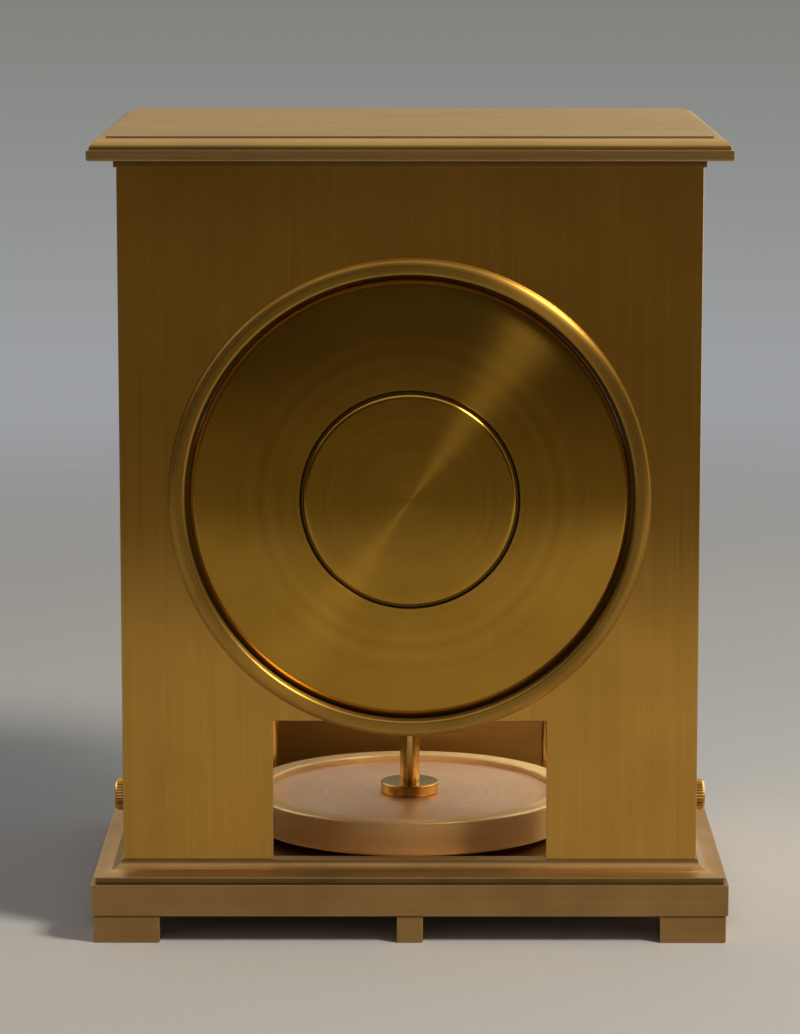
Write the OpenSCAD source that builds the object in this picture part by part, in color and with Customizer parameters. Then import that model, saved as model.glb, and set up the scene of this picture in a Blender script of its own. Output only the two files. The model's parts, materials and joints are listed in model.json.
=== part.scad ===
// Atmospheric clock: a brass mantel clock that is wound by a bellows, which breathes with the warmth
// of the room, and kept in time by a slow balance on a twisting wire.
// The dial faces -Y. The back panel with the bellows drum faces +Y. The feet stand on z = 0.

/* [Overall] */
// Height from the feet to the top of the lid
total_h = 235; // [225:1:290]
// Width of the case body
case_w = 168; // [166:1:210]
// Space between the balance and the outer faces of the door and the back panel
balance_room = 17; // [17:0.5:30]

/* [Base] */
// How far the base stands out past the case body
base_out = 9; // [7:0.5:10]
// Height of the feet
foot_h = 8; // [7:0.5:9]
// Length of each leg of a bracket foot
foot_w = 19.5; // [16:0.5:24]
// Thickness of a bracket foot's legs
foot_t = 10; // [6:0.5:12]
// Width of the middle foot under the back edge
rear_foot_w = 7.8; // [6:0.2:12]
// Height of the plinth's top, where the case body stands
base_top = 23; // [22:0.5:23.5]
// Height of the underside of the base plate
floor_z = 14; // [12:0.5:14.5]
// Thickness of the base plate
floor_t = 2.5; // [2:0.5:3]
// Radius of a levelling foot's screw
level_screw_r = 2; // [1.5:0.25:2.5]
// Radius of a levelling foot's knurled wheel
level_wheel_r = 6.5; // [5:0.5:7]

/* [Lid] */
// How far the lid stands out past the case body
lid_out = 8; // [6:0.5:9]
// Height of the lid
lid_h = 9; // [8:0.5:12]
// Thickness of the lid's top over its hollow underside
lid_skin = 2.5; // [2:0.5:3]

/* [Case walls] */
// Thickness of the side frames
side_t = 6; // [5:0.5:7]
// Width of the side frames' uprights
stile_w = 9; // [7:0.5:11]
// Height of the side frames' bottom rail
side_rail_h = 23; // [18:0.5:26]
// Height of the side frames' top rail and of the front top rail
top_rail_h = 12; // [9:0.5:14]
// Thickness of the glass
glass_t = 2; // [1.5:0.25:2]
// How far each pane reaches behind its frame
glass_lap = 2; // [1.5:0.25:3]
// Thickness of the back panel
panel_t = 2; // [1.5:0.25:3]
// Thickness of the front door
door_t = 4; // [4:0.5:5]
// Width of the door frame's bars
door_bar = 9; // [7:0.5:11]
// Radius of the door's hinge pins
door_pin_r = 0.9; // [0.8:0.1:1.2]
// Radius of the side thumbscrews' knobs
thumb_r = 4.8; // [4:0.2:6]
// Height of the side thumbscrews
thumb_z = 35; // [32:0.5:38]
// Distance of the side thumbscrews behind the middle
thumb_y = 34; // [20:1:50]

/* [Back opening and bellows drum] */
// Height of the middle of the drum, the dial and the hands
drum_z = 130; // [128:0.5:134]
// Radius of the bellows drum
drum_r = 64; // [60:0.5:66]
// Gap between the drum and the ring around it
drum_gap = 1.2; // [0.8:0.1:1.6]
// Width of the ring around the drum
ring_w = 4.8; // [4:0.2:5.5]
// How far the ring stands out of the back panel
ring_proud = 2.2; // [1.5:0.1:3]
// Wall of the drum
drum_wall = 1.5; // [1.2:0.1:2]
// Front of the drum, behind the balance's tube
drum_front = 12; // [11.5:0.5:14]
// Radius of the raised disc in the middle of the drum cover
cover_disc_r = 31; // [26:0.5:34]
// Width of the opening that shows the balance
window_w = 80; // [70:1:90]
// Height of that opening's top edge
window_top = 64.5; // [63.5:0.5:66]
// Gap between the drum's wall and the bellows capsule
capsule_gap = 7.5; // [6.5:0.5:12]
// Length of the bellows capsule
capsule_l = 26; // [20:0.5:28]
// Radius of the push plate
push_r = 26; // [24:0.5:30]
// Mean radius of the bellows spring
spring_r = 20; // [16:0.5:22]
// Radius of the bellows spring's wire
spring_wire_r = 1.1; // [0.9:0.1:1.3]
// Curls in the bellows spring
spring_curls = 5; // [4:1:6]

/* [Balance] */
// Radius of the balance
balance_r = 50; // [46:0.5:60]
// Height of the balance's underside
balance_z = 19.5; // [19:0.25:21]
// Height of the balance's rim
rim_h = 10.5; // [9:0.5:12]
// Width of the balance's rim
rim_w = 6; // [5:0.5:8]
// Thickness of the balance plate
web_t = 1.6; // [1.2:0.2:2]
// Radius of the balance hub
hub_r = 9; // [7:0.5:11]
// Outer radius of the balance tube
tube_r = 3; // [2.6:0.1:3.2]
// Height of the top of the balance tube
tube_top = 92; // [90:0.5:93]
// Radius of the suspension wire
wire_r = 0.3; // [0.25:0.05:0.4]

/* [Dial and hands] */
// Outer radius of the chapter ring
dial_r = 54; // [50:0.5:58]
// Inner radius of the chapter ring
dial_hole_r = 40; // [38:0.5:42]
// Thickness of the chapter ring
dial_t = 1.5; // [1.2:0.1:1.8]
// Length of the hour hand
hour_hand_l = 33; // [28:0.5:38]
// Length of the minute hand
minute_hand_l = 47; // [42:0.5:50]

/* [Movement] */
// How far the movement plates reach past the middles of the support columns
plate_edge = 6; // [5.5:0.5:9]
// Height of the movement plates
plate_h = 104; // [100:1:108]
// Thickness of the movement plates
plate_t = 2.5; // [2:0.25:3]
// Front face of the front movement plate, in front of the balance's axis
plate_y = 50; // [50:0.5:52]
// Space between the movement plates
plate_gap = 22.5; // [22.5:0.5:23]
// Radius of the support columns
column_r = 4; // [3.5:0.25:5]
// Mean radius of the chain where it runs on the pulley
pulley_r = 7; // [6.5:0.25:7.5]
// Mean radius of the chain where it runs on the roller
roller_r = 4; // [3.5:0.25:4.5]
// Radius of a chain bead
bead_r = 0.8; // [0.6:0.1:0.9]

/* [Gears] */
// Tooth module of the train, pitch diameter over teeth
train_mod = 0.5; // [0.48:0.01:0.52]
// Teeth of the great wheel on the barrel
great_teeth = 96; // [90:6:96]
// Teeth of the centre pinion
centre_pinion_teeth = 12; // [10:1:14]
// Teeth of the centre wheel
centre_teeth = 64; // [60:4:64]
// Teeth of the escape pinion
escape_pinion_teeth = 16; // [15:1:16]
// Teeth of the escape wheel
escape_teeth = 15; // [12:1:18]
// Teeth of the cannon pinion
cannon_teeth = 12; // [12:1:12]
// Teeth of the minute wheel
minute_teeth = 36; // [36:1:36]
// Teeth of the minute wheel's pinion
minute_pinion_teeth = 10; // [10:1:10]
// Teeth of the hour wheel
hour_teeth = 40; // [40:1:40]

/* [Fits] */
// Gap round a turning shaft
shaft_gap = 0.05; // [0.03:0.01:0.08]
// Gap between pieces that move past each other
run_gap = 0.3; // [0.3:0.05:0.4]
// Gap round a pane of glass
pane_gap = 0.2; // [0.1:0.05:0.3]

/* [Hidden] */
$fn = 48;
eps = 0.01;
lid_z = total_h - lid_h;
half_w = case_w / 2;
case_d = 2 * (balance_r + balance_room);
front_y = -case_d / 2;
back_y = case_d / 2;
panel_y = back_y - panel_t;
door_back = front_y + door_t;
frame_y = door_back + run_gap;
inner_w = half_w - side_t;
floor_top = floor_z + floor_t;
plinth_wall = 6;
plate_rebate = 4;
edge_steps = 8;

// Case openings
pane_z0 = base_top + side_rail_h;
pane_z1 = lid_z - top_rail_h;
pane_y0 = frame_y + stile_w;
pane_y1 = panel_y - stile_w;
rail_t = 4;
front_rail_h = 16;
door_z0 = base_top + run_gap;
door_z1 = lid_z - run_gap;
door_axis_x = -half_w + door_t / 2;
door_axis_y = front_y + door_t / 2;
door_pin_l = 3.6;
knob_r = 4;
knob_l = 5.5;
knob_z = (door_z0 + door_z1) / 2;

// Levelling feet
level_x = half_w - 24;
level_y = front_y - base_out / 2 + 3.5;
level_bore_top = floor_z + 4;
level_rest = 0.5;
level_reach = 15.5;

// Side thumbscrews
thumb_l = 4.6;
thumb_stem_r = 2;

// Drum
hole_r = drum_r + drum_gap + 1.8;
ring_in = drum_r + drum_gap;
ring_out = ring_in + ring_w;
cover_skin = 1.6;
cover_y = back_y;
cover_seat = cover_y - 2.6;
chain_hole_r = 6;
capsule_r = drum_r - drum_wall - capsule_gap;
capsule_y1 = cover_y - cover_skin - 0.8;
capsule_y0 = capsule_y1 - capsule_l;
capsule_skin = 0.8;
capsule_folds = 5;
fold_depth = 8;
push_t = 2;
push_y1 = capsule_y0 - run_gap;
push_y0 = push_y1 - push_t;
drum_floor = drum_front + 2;

// Balance
balance_top = balance_z + rim_h;
web_z = balance_top - 2 - web_t;
hub_z0 = balance_z + 4.2;
hub_z1 = balance_top + 1.5;
tube_in = tube_r - 0.8;
pin_r = 0.6;
pin_z = 74.2;
pin_reach = 9.2;
roller_h = 4;
block_z0 = tube_top + 6;
block_z1 = drum_z - 4;
block_half = 4;
arm_x0 = 16;
arm_x1 = 20;

// Lock lever and lifter
lever_y = -balance_r - 4;
lever_t = 1;
lever_z = floor_top + 0.7;
lifter_r = 8;

// Movement plates, from the dial to the back
front_plate_0 = -plate_y;
front_plate_1 = front_plate_0 + plate_t;
rear_plate_0 = front_plate_1 + plate_gap;
rear_plate_1 = rear_plate_0 + plate_t;
plate_z0 = drum_z - 46;
plate_round = 8;
column_y = (front_plate_1 + rear_plate_0) / 2;
column_x = sqrt(pow(balance_r + column_r + 4.5, 2) - pow(column_y, 2));
column_top = drum_z + 20;
plate_w = 2 * (column_x + plate_edge);
cross_r = 3;
cross_z = [drum_z - 30, drum_z + 10];
pillar_r = 3.5;
pillar_x = plate_w / 2 - 8;
pillar_z = drum_z + 48;
post_spots = [[-34, 16], [34, 16], [0, 42]];
screw_r = 1.5;
screw_head_r = 2.6;
screw_head_h = 1.4;
screw_deep = 4;

// Train centres, in X and Z
centre_at = [0, drum_z];
barrel_reach = train_mod * (great_teeth + centre_pinion_teeth) / 2;
barrel_at = [pulley_r, drum_z + sqrt(pow(barrel_reach, 2) - pow(pulley_r, 2))];
escape_at = [0, drum_z - train_mod * (centre_teeth + escape_pinion_teeth) / 2];
pallet_at = [0, escape_at[1] - 13.5];
minute_reach = train_mod * (cannon_teeth + minute_teeth) / 2;
minute_at = [minute_reach, drum_z];
hour_mod = 2 * minute_reach / (minute_pinion_teeth + hour_teeth);
barrel_angle = atan2(barrel_at[1] - drum_z, barrel_at[0]);

// Tooth shape: heights over the module, and half widths over the tooth spacing
tooth_rise = 0.85;
tooth_sink = 1.15;
tip_half = 0.12;
root_half = 0.31;

// Shafts and wheels
centre_r = 1.5;
escape_shaft_r = 0.9;
pallet_shaft_r = 0.8;
barrel_shaft_r = 2;
great_y = front_plate_1 + 1.9;
great_t = 1.8;
barrel_r = 21.5;
barrel_wall = 1.5;
barrel_l = 12;
barrel_cover_t = 1.2;
hub_spring_r = 4;
centre_wheel_y = rear_plate_0 - 4.6;
wheel_t = 1.4;
escape_y = rear_plate_1 + 4.1;
escape_r = 8;
escape_t = 1;
bridge_y = rear_plate_1 + 9.5;
bridge_t = 2;
fork_y = -8.6;
fork_t = 0.8;
bush_wall = 1.1;
cannon_r = 2.2;
hour_pipe_r = 3.1;
hand_t = 0.9;
minute_hand_y = front_plate_0 - 10.4;
hour_hand_y = front_plate_0 - 8.2;
dial_y = front_plate_0 - 6.5;
arbor_end = minute_hand_y - 1.2;
pulley_y = rear_plate_1 + 4.5;
pulley_half = 2.5;
ratchet_y = pulley_y + pulley_half + 0.3;
ratchet_tip = pulley_r + 0.5;
roller_y = pulley_y + roller_r;
roller_z = drum_z + roller_r;
roller_half = 2.6;
ear_in = 3.2;
ear_out = 5;
push_boss = 1.8;
chain_start = push_y0 - push_boss - bead_r + 0.1;
bead_pitch = 2.6;

// A block between two corners
module block(from, to) {
    translate(from)
        cube(to - from);
}

// A flat outline in X and Z, as thick as y0 to y1
module along_y(y0, y1, at = [0, 0]) {
    translate([at[0], y1, at[1]])
        rotate([90, 0, 0])
            linear_extrude(y1 - y0)
                children();
}

// A round rod from y0 to y1
module rod_y(r, y0, y1, at = [0, 0]) {
    translate([at[0], y1, at[1]])
        rotate([90, 0, 0])
            cylinder(r = r, h = y1 - y0);
}

// A round rod from z0 to z1
module rod_z(r, z0, z1, at = [0, 0]) {
    translate([at[0], at[1], z0])
        cylinder(r = r, h = z1 - z0);
}

// A round rod from x0 to x1
module rod_x(r, x0, x1, y, z) {
    translate([x0, y, z])
        rotate([0, 90, 0])
            cylinder(r = r, h = x1 - x0);
}

// A turned piece whose outline is given as radius and y
module turned_y(outline, at = [0, 0]) {
    translate([at[0], 0, at[1]])
        rotate([-90, 0, 0])
            rotate_extrude()
                polygon(outline);
}

// A turned piece whose outline is given as radius and z
module turned_z(outline, at = [0, 0]) {
    translate([at[0], at[1], 0])
        rotate_extrude()
            polygon(outline);
}

// A rectangle with round corners
module rounded(w, h, r) {
    square([w - 2 * r, h], center = true);
    square([w, h - 2 * r], center = true);
    for (sx = [-1, 1], sy = [-1, 1])
        translate([sx * (w / 2 - r), sy * (h / 2 - r)])
            circle(r = r);
}

// Points on a stretch of an ellipse
function arc(cx, cz, rx, rz, a0, a1, steps = edge_steps) =
    [for (i = [0:steps]) let (a = a0 + (a1 - a0) * i / steps) [cx + rx * cos(a), cz + rz * sin(a)]];

function mirrored(edge, half) = concat(
    [for (p = edge) [half + p[0], p[1]]],
    [for (i = [len(edge) - 1:-1:0]) [-half - edge[i][0], edge[i][1]]]);

// A moulding that runs round a w by d rectangle with mitred corners. Its edge is given as how far it
// stands out and its height.
module moulded(w, d, edge, reach) {
    intersection() {
        rotate([90, 0, 0])
            linear_extrude(d + 2 * reach, center = true)
                polygon(mirrored(edge, w / 2));
        rotate([90, 0, 90])
            linear_extrude(w + 2 * reach, center = true)
                polygon(mirrored(edge, d / 2));
    }
}

// Outline of a gear with one tooth along the first axis
module gear_outline(teeth, mod) {
    pitch_r = mod * teeth / 2;
    tip = pitch_r + tooth_rise * mod;
    root = pitch_r - tooth_sink * mod;
    step = 360 / teeth;
    tooth = [[root, -root_half], [tip, -tip_half], [tip, tip_half], [root, root_half]];
    polygon([for (i = [0:teeth - 1], p = tooth) p[0] * [cos(step * (i + p[1])), sin(step * (i + p[1]))]]);
}

// Windows that leave spokes between a hub and a rim
module crossings(hub, rim, spokes, bar) {
    apex = bar / 2 / sin(180 / spokes);
    for (i = [0:spokes - 1])
        rotate(i * 360 / spokes)
            intersection() {
                difference() {
                    circle(r = rim);
                    circle(r = hub);
                }
                translate(apex * [cos(180 / spokes), sin(180 / spokes)])
                    polygon([[0, 0], [2 * rim, 0], 2 * rim * [cos(360 / spokes), sin(360 / spokes)]]);
            }
}

// Outline of a flat spiral strip
module spiral(r0, r1, turns, strip, steps) {
    last = turns * steps;
    inner = [for (i = [0:last]) let (r = r0 + (r1 - r0) * i / last, a = 360 * i / steps)
        r * [cos(a), sin(a)]];
    outer = [for (i = [last:-1:0]) let (r = strip + r0 + (r1 - r0) * i / last, a = 360 * i / steps)
        r * [cos(a), sin(a)]];
    polygon(concat(inner, outer));
}

module brass() {
    color([0.72, 0.54, 0.24])
        children();
}

module steel() {
    color([0.7, 0.7, 0.72])
        children();
}

module glass() {
    color([0.8, 0.9, 0.92, 0.35])
        children();
}

// Base

plinth_edge = concat(
    [[base_out - 0.5, foot_h], [base_out, foot_h + 0.5], [base_out, base_top - 5.5]],
    [[base_out - 1.4, base_top - 5.3], [base_out - 1.4, base_top - 3.9], [base_out - 0.8, base_top - 3.7]],
    arc(base_out - 0.8, base_top, base_out - 1.4, 3.4, 270, 180));

module base_plinth() brass() {
    difference() {
        moulded(case_w, case_d, plinth_edge, base_out + 1);
        block([-half_w + plinth_wall, front_y + plinth_wall, 0],
            [half_w - plinth_wall, back_y - plinth_wall, total_h]);
        block([-half_w + plate_rebate, front_y + plate_rebate, floor_z],
            [half_w - plate_rebate, back_y - plate_rebate, total_h]);
        for (sx = [-1, 1])
            rod_z(level_screw_r + shaft_gap, 0, level_bore_top, [sx * level_x, level_y]);
        rod_z(door_pin_r + shaft_gap, door_z0 - door_pin_l - run_gap, total_h, [door_axis_x, door_axis_y]);
    }
}

module bracket_foot() {
    difference() {
        block([-foot_w, -foot_w, 0], [0, 0, foot_h]);
        block([-foot_w - 1, -foot_w - 1, -1], [-foot_t, -foot_t, foot_h + 1]);
    }
}

module feet() brass() {
    for (sx = [-1, 1], sy = [-1, 1])
        translate([sx * (half_w + base_out - 0.5), sy * (back_y + base_out - 0.5), 0])
            mirror([sx < 0 ? 1 : 0, 0, 0])
                mirror([0, sy < 0 ? 1 : 0, 0])
                    bracket_foot();
    block([-rear_foot_w / 2, back_y - 2, 0], [rear_foot_w / 2, back_y + base_out - 0.5, foot_h]);
}

module levelling_foot(sx) {
    turned_z([[0, level_rest], [level_wheel_r - 2.5, level_rest], [level_wheel_r - 2, level_rest + 2.4],
        [level_wheel_r, level_rest + 2.6], [level_wheel_r, level_rest + 5.6],
        [level_wheel_r - 0.6, level_rest + 6], [level_screw_r, level_rest + 6],
        [level_screw_r, level_reach], [0, level_reach]], [sx * level_x, level_y]);
}

module left_levelling_foot() brass() levelling_foot(-1);
module right_levelling_foot() brass() levelling_foot(1);

module base_plate() brass() {
    block([-half_w + plate_rebate + pane_gap, front_y + plate_rebate + pane_gap, floor_z],
        [half_w - plate_rebate - pane_gap, back_y - plate_rebate - pane_gap, floor_top]);
}

// Case walls

module side_frame() {
    difference() {
        block([inner_w, frame_y, base_top], [half_w, panel_y, lid_z]);
        block([inner_w - 1, pane_y0, pane_z0], [half_w + 1, pane_y1, pane_z1]);
        block([inner_w - 1, pane_y0 - glass_lap, pane_z0 - glass_lap],
            [inner_w + glass_t + run_gap, pane_y1 + glass_lap, pane_z1 + glass_lap]);
        rod_x(thumb_stem_r + shaft_gap, inner_w - 1, half_w + 1, thumb_y, thumb_z);
    }
}

module left_side_frame() brass() mirror([1, 0, 0]) side_frame();
module right_side_frame() brass() side_frame();

module side_glasses() glass() {
    pane_edge = glass_lap - pane_gap;
    for (sx = [0, 1])
        mirror([sx, 0, 0])
            block([inner_w + run_gap, pane_y0 - pane_edge, pane_z0 - pane_edge],
                [inner_w + run_gap + glass_t, pane_y1 + pane_edge, pane_z1 + pane_edge]);
}

module front_rails() brass() {
    block([-inner_w, frame_y, base_top], [inner_w, frame_y + rail_t, base_top + front_rail_h]);
    block([-inner_w, frame_y, lid_z - top_rail_h], [inner_w, frame_y + rail_t, lid_z]);
}

module back_panel() brass() {
    difference() {
        block([-half_w, panel_y, base_top], [half_w, back_y, lid_z]);
        rod_y(hole_r, panel_y - 1, back_y + 1, [0, drum_z]);
        block([-window_w / 2, panel_y - 1, base_top - 1], [window_w / 2, back_y + 1, window_top]);
    }
}

module drum_ring() brass() {
    sleeve_r = hole_r - shaft_gap;
    flange_r = drum_r + run_gap;
    turned_y(concat([[flange_r, panel_y - 3], [sleeve_r, panel_y - 3], [sleeve_r, back_y]],
        [[ring_out, back_y]], arc(ring_out - 1.6, back_y + ring_proud - 1.8, 1.6, 1.8, 0, 90),
        arc(ring_in + 1, back_y + ring_proud - 1, 1, 1, 90, 180),
        [[ring_in, panel_y - 2], [flange_r, panel_y - 2]]), [0, drum_z]);
}

lid_edge = concat([[0, lid_z], [0.8, lid_z], [0.8, lid_z + 2.2], [lid_out - 0.4, lid_z + 2.2]],
    [[lid_out, lid_z + 2.6], [lid_out, lid_z + 5.2], [lid_out - 0.8, lid_z + 5.4]],
    arc(lid_out - 4.8, lid_z + 5.8, 4, lid_h - 6.4, 0, 90),
    [[lid_out - 5.4, total_h - 0.6], [lid_out - 5.6, total_h]]);

module lid() brass() {
    difference() {
        moulded(case_w, case_d, lid_edge, lid_out + 1);
        block([-inner_w + 1, front_y + 12, 0], [inner_w - 1, back_y - 12, total_h - lid_skin]);
        rod_z(door_pin_r + shaft_gap, 0, door_z1 + door_pin_l + run_gap, [door_axis_x, door_axis_y]);
    }
}

module thumbscrew() {
    translate([0, thumb_y, thumb_z])
        rotate([0, 90, 0])
            rotate_extrude()
                polygon([[0, inner_w - 1], [thumb_stem_r, inner_w - 1], [thumb_stem_r, half_w + run_gap],
                    [thumb_r - 1, half_w + run_gap], [thumb_r, half_w + 1], [thumb_r, half_w + thumb_l - 1],
                    [thumb_r - 1, half_w + thumb_l], [0, half_w + thumb_l]]);
}

module left_thumbscrew() brass() mirror([1, 0, 0]) thumbscrew();
module right_thumbscrew() brass() thumbscrew();

// Door

module door_frame() brass() {
    difference() {
        union() {
            block([door_axis_x, front_y, door_z0], [half_w, door_back, door_z1]);
            rod_z(door_t / 2, door_z0, door_z1, [door_axis_x, door_axis_y]);
        }
        block([-half_w + door_bar, front_y - 1, door_z0 + door_bar],
            [half_w - door_bar, door_back + 1, door_z1 - door_bar]);
        block([-half_w + door_bar - glass_lap, door_back - glass_t, door_z0 + door_bar - glass_lap],
            [half_w - door_bar + glass_lap, door_back + 1, door_z1 - door_bar + glass_lap]);
    }
    rod_z(door_pin_r, door_z0 - door_pin_l, door_z0 + eps, [door_axis_x, door_axis_y]);
    rod_z(door_pin_r, door_z1 - eps, door_z1 + door_pin_l, [door_axis_x, door_axis_y]);
}

module door_glass() glass() {
    pane = half_w - door_bar + glass_lap - pane_gap;
    block([-pane, door_back - glass_t, door_z0 + door_bar - glass_lap + pane_gap],
        [pane, door_back, door_z1 - door_bar + glass_lap - pane_gap]);
}

module door_knob() brass() {
    turned_y(concat([[0, front_y - knob_l]], arc(0, front_y - knob_l + 2, knob_r, 2, 270, 360),
        [[knob_r - 0.6, front_y - 2], [knob_r / 2, front_y - 1.4], [knob_r / 2, front_y], [0, front_y]]),
        [half_w - door_bar / 2, knob_z]);
}

// Dial and hands

module chapter_ring() color([0.93, 0.9, 0.82]) {
    along_y(dial_y, dial_y + dial_t, centre_at)
        difference() {
            circle(r = dial_r, $fn = 96);
            circle(r = dial_hole_r, $fn = 96);
        }
    for (i = [0:3])
        rod_y(1.6, dial_y + dial_t - eps, front_plate_0,
            [47 * cos(45 + 90 * i), drum_z + 47 * sin(45 + 90 * i)]);
}

module hour_markers() brass() {
    for (i = [0:11])
        along_y(dial_y - 0.5, dial_y, centre_at)
            rotate(30 * i)
                translate([dial_r - 11, -1])
                    square([8.5, 2]);
}

module hand_outline(length, width, boss) {
    tail = 0.2 * length;
    circle(r = boss);
    side = width / 2;
    polygon([[-side, -tail], [side, -tail], [side, length * 0.7], [0, length], [-side, length * 0.7]]);
}

module hour_hand() color([0.16, 0.14, 0.12]) {
    along_y(hour_hand_y, hour_hand_y + hand_t, centre_at)
        difference() {
            rotate(60)
                hand_outline(hour_hand_l, 3.4, 4.4);
            circle(r = hour_pipe_r);
        }
}

module minute_hand() color([0.16, 0.14, 0.12]) {
    along_y(minute_hand_y, minute_hand_y + hand_t, centre_at)
        difference() {
            rotate(-60)
                hand_outline(minute_hand_l, 2.6, 3.6);
            circle(r = cannon_r);
        }
}

module hand_nut() brass() {
    turned_y([[centre_r, arbor_end + 0.2], [2.4, arbor_end + 0.2], [2.8, arbor_end + 0.5],
        [2.8, minute_hand_y], [centre_r, minute_hand_y]], centre_at);
}

// Movement plates and what joins them

screw_spots = concat([for (sx = [-1, 1], z = cross_z) [sx * column_x, z]],
    [for (sx = [-1, 1]) [sx * pillar_x, pillar_z]]);

module movement_plate(y0, y1) {
    difference() {
        along_y(y0, y1, [0, plate_z0 + plate_h / 2])
            rounded(plate_w, plate_h, plate_round);
        for (at = screw_spots)
            rod_y(screw_r, y0 - 1, y1 + 1, at);
        rod_y(centre_r + bush_wall, y0 - 1, y1 + 1, centre_at);
        rod_y(barrel_shaft_r + bush_wall, y0 - 1, y1 + 1, barrel_at);
        rod_y(escape_shaft_r + bush_wall, y0 - 1, y1 + 1, escape_at);
    }
}

module front_plate() brass() {
    movement_plate(front_plate_0, front_plate_1);
    rod_y(1, front_plate_0 - 4.5, front_plate_0 + eps, minute_at);
}

module rear_plate() brass() {
    difference() {
        movement_plate(rear_plate_0, rear_plate_1);
        rod_y(pallet_shaft_r + bush_wall, rear_plate_0 - 1, rear_plate_1 + 1, pallet_at);
    }
}

module support_columns() brass() {
    for (sx = [-1, 1])
        difference() {
            union() {
                rod_z(column_r, floor_top, column_top, [sx * column_x, column_y]);
                rod_z(column_r + 3, floor_top, floor_top + 2, [sx * column_x, column_y]);
                for (z = cross_z)
                    rod_y(cross_r, front_plate_1, rear_plate_0, [sx * column_x, z]);
            }
            for (z = cross_z) {
                rod_y(screw_r, front_plate_1 - 1, front_plate_1 + screw_deep, [sx * column_x, z]);
                rod_y(screw_r, rear_plate_0 - screw_deep, rear_plate_0 + 1, [sx * column_x, z]);
            }
        }
}

module turned_pillars() brass() {
    for (sx = [-1, 1])
        difference() {
            rod_y(pillar_r, front_plate_1, rear_plate_0, [sx * pillar_x, pillar_z]);
            rod_y(screw_r, front_plate_1 - 1, front_plate_1 + screw_deep, [sx * pillar_x, pillar_z]);
            rod_y(screw_r, rear_plate_0 - screw_deep, rear_plate_0 + 1, [sx * pillar_x, pillar_z]);
        }
    for (spot = post_spots)
        rod_y(pillar_r, rear_plate_1, drum_front, [spot[0], drum_z + spot[1]]);
}

module plate_screws() steel() {
    for (at = screw_spots) {
        turned_y([[0, front_plate_0 - screw_head_h], [screw_head_r, front_plate_0 - screw_head_h],
            [screw_head_r, front_plate_0], [screw_r, front_plate_0], [screw_r, front_plate_1 + screw_deep],
            [0, front_plate_1 + screw_deep]], at);
        turned_y([[0, rear_plate_1 + screw_head_h], [screw_head_r, rear_plate_1 + screw_head_h],
            [screw_head_r, rear_plate_1], [screw_r, rear_plate_1], [screw_r, rear_plate_0 - screw_deep],
            [0, rear_plate_0 - screw_deep]], at);
    }
}

module bush(shaft, y0, y1, at) {
    turned_y([[shaft + shaft_gap, y0], [shaft + bush_wall, y0], [shaft + bush_wall, y1],
        [shaft + shaft_gap, y1]], at);
}

module bushes() color([0.78, 0.2, 0.22]) {
    for (span = [[front_plate_0, front_plate_1], [rear_plate_0, rear_plate_1]]) {
        bush(centre_r, span[0], span[1], centre_at);
        bush(barrel_shaft_r, span[0], span[1], barrel_at);
        bush(escape_shaft_r, span[0], span[1], escape_at);
    }
    bush(pallet_shaft_r, rear_plate_0, rear_plate_1, pallet_at);
}

// Barrel and winding work

drum_0 = great_y + great_t;
drum_1 = drum_0 + barrel_l;

module mainspring_barrel() brass() {
    difference() {
        union() {
            along_y(great_y, drum_0, barrel_at)
                rotate(barrel_angle + 180)
                    gear_outline(great_teeth, train_mod);
            rod_y(barrel_r, drum_0 - eps, drum_1, barrel_at);
        }
        rod_y(barrel_r - barrel_wall, drum_0, drum_1 + 1, barrel_at);
        rod_y(barrel_shaft_r + shaft_gap, great_y - 1, drum_1, barrel_at);
    }
}

module barrel_cover() brass() {
    along_y(drum_1, drum_1 + barrel_cover_t, barrel_at)
        difference() {
            circle(r = barrel_r);
            circle(r = barrel_shaft_r + shaft_gap);
        }
}

module mainspring() color([0.35, 0.38, 0.45]) {
    along_y(drum_0 + run_gap, drum_1 - run_gap, barrel_at)
        spiral(hub_spring_r + run_gap, barrel_r - barrel_wall - 0.9, 6, 0.6, 20);
}

module barrel_arbor() steel() {
    turned_y([[0, front_plate_0], [barrel_shaft_r, front_plate_0], [barrel_shaft_r, drum_0 + run_gap],
        [hub_spring_r, drum_0 + run_gap], [hub_spring_r, drum_1 - run_gap],
        [barrel_shaft_r, drum_1 - run_gap], [barrel_shaft_r, ratchet_y + 1.6], [0, ratchet_y + 1.6]],
        barrel_at);
    along_y(ratchet_y, ratchet_y + 1.2, barrel_at)
        difference() {
            polygon([for (i = [0:23], p = [[ratchet_tip, 0], [ratchet_tip - 1.2, 0.1]])
                p[0] * [cos(15 * (i + p[1])), sin(15 * (i + p[1]))]]);
            circle(r = barrel_shaft_r - 0.5);
        }
}

module winding_pulley() brass() {
    groove = pulley_r - bead_r;
    difference() {
        turned_y([[0, pulley_y - pulley_half], [pulley_r + 2, pulley_y - pulley_half],
            [pulley_r + 2, pulley_y - 1.6], [groove, pulley_y - bead_r], [groove, pulley_y + bead_r],
            [pulley_r + 2, pulley_y + 1.6], [pulley_r + 4.5, pulley_y + 1.7],
            [pulley_r + 4.5, pulley_y + pulley_half], [0, pulley_y + pulley_half]], barrel_at);
        rod_y(barrel_shaft_r, pulley_y - 9, pulley_y + 9, barrel_at);
    }
}

module click() steel() {
    along_y(pulley_y + pulley_half, ratchet_y + 1.2, barrel_at)
        rotate(-60)
            translate([pulley_r + 2.6, 0]) {
                circle(r = 1.3);
                polygon([[-1.1, -0.9], [0.9, -0.9], [0.5, 4.4], [-2.1, 5.2], [-2.3, 4.7], [-0.7, 3.6]]);
            }
}

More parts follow.
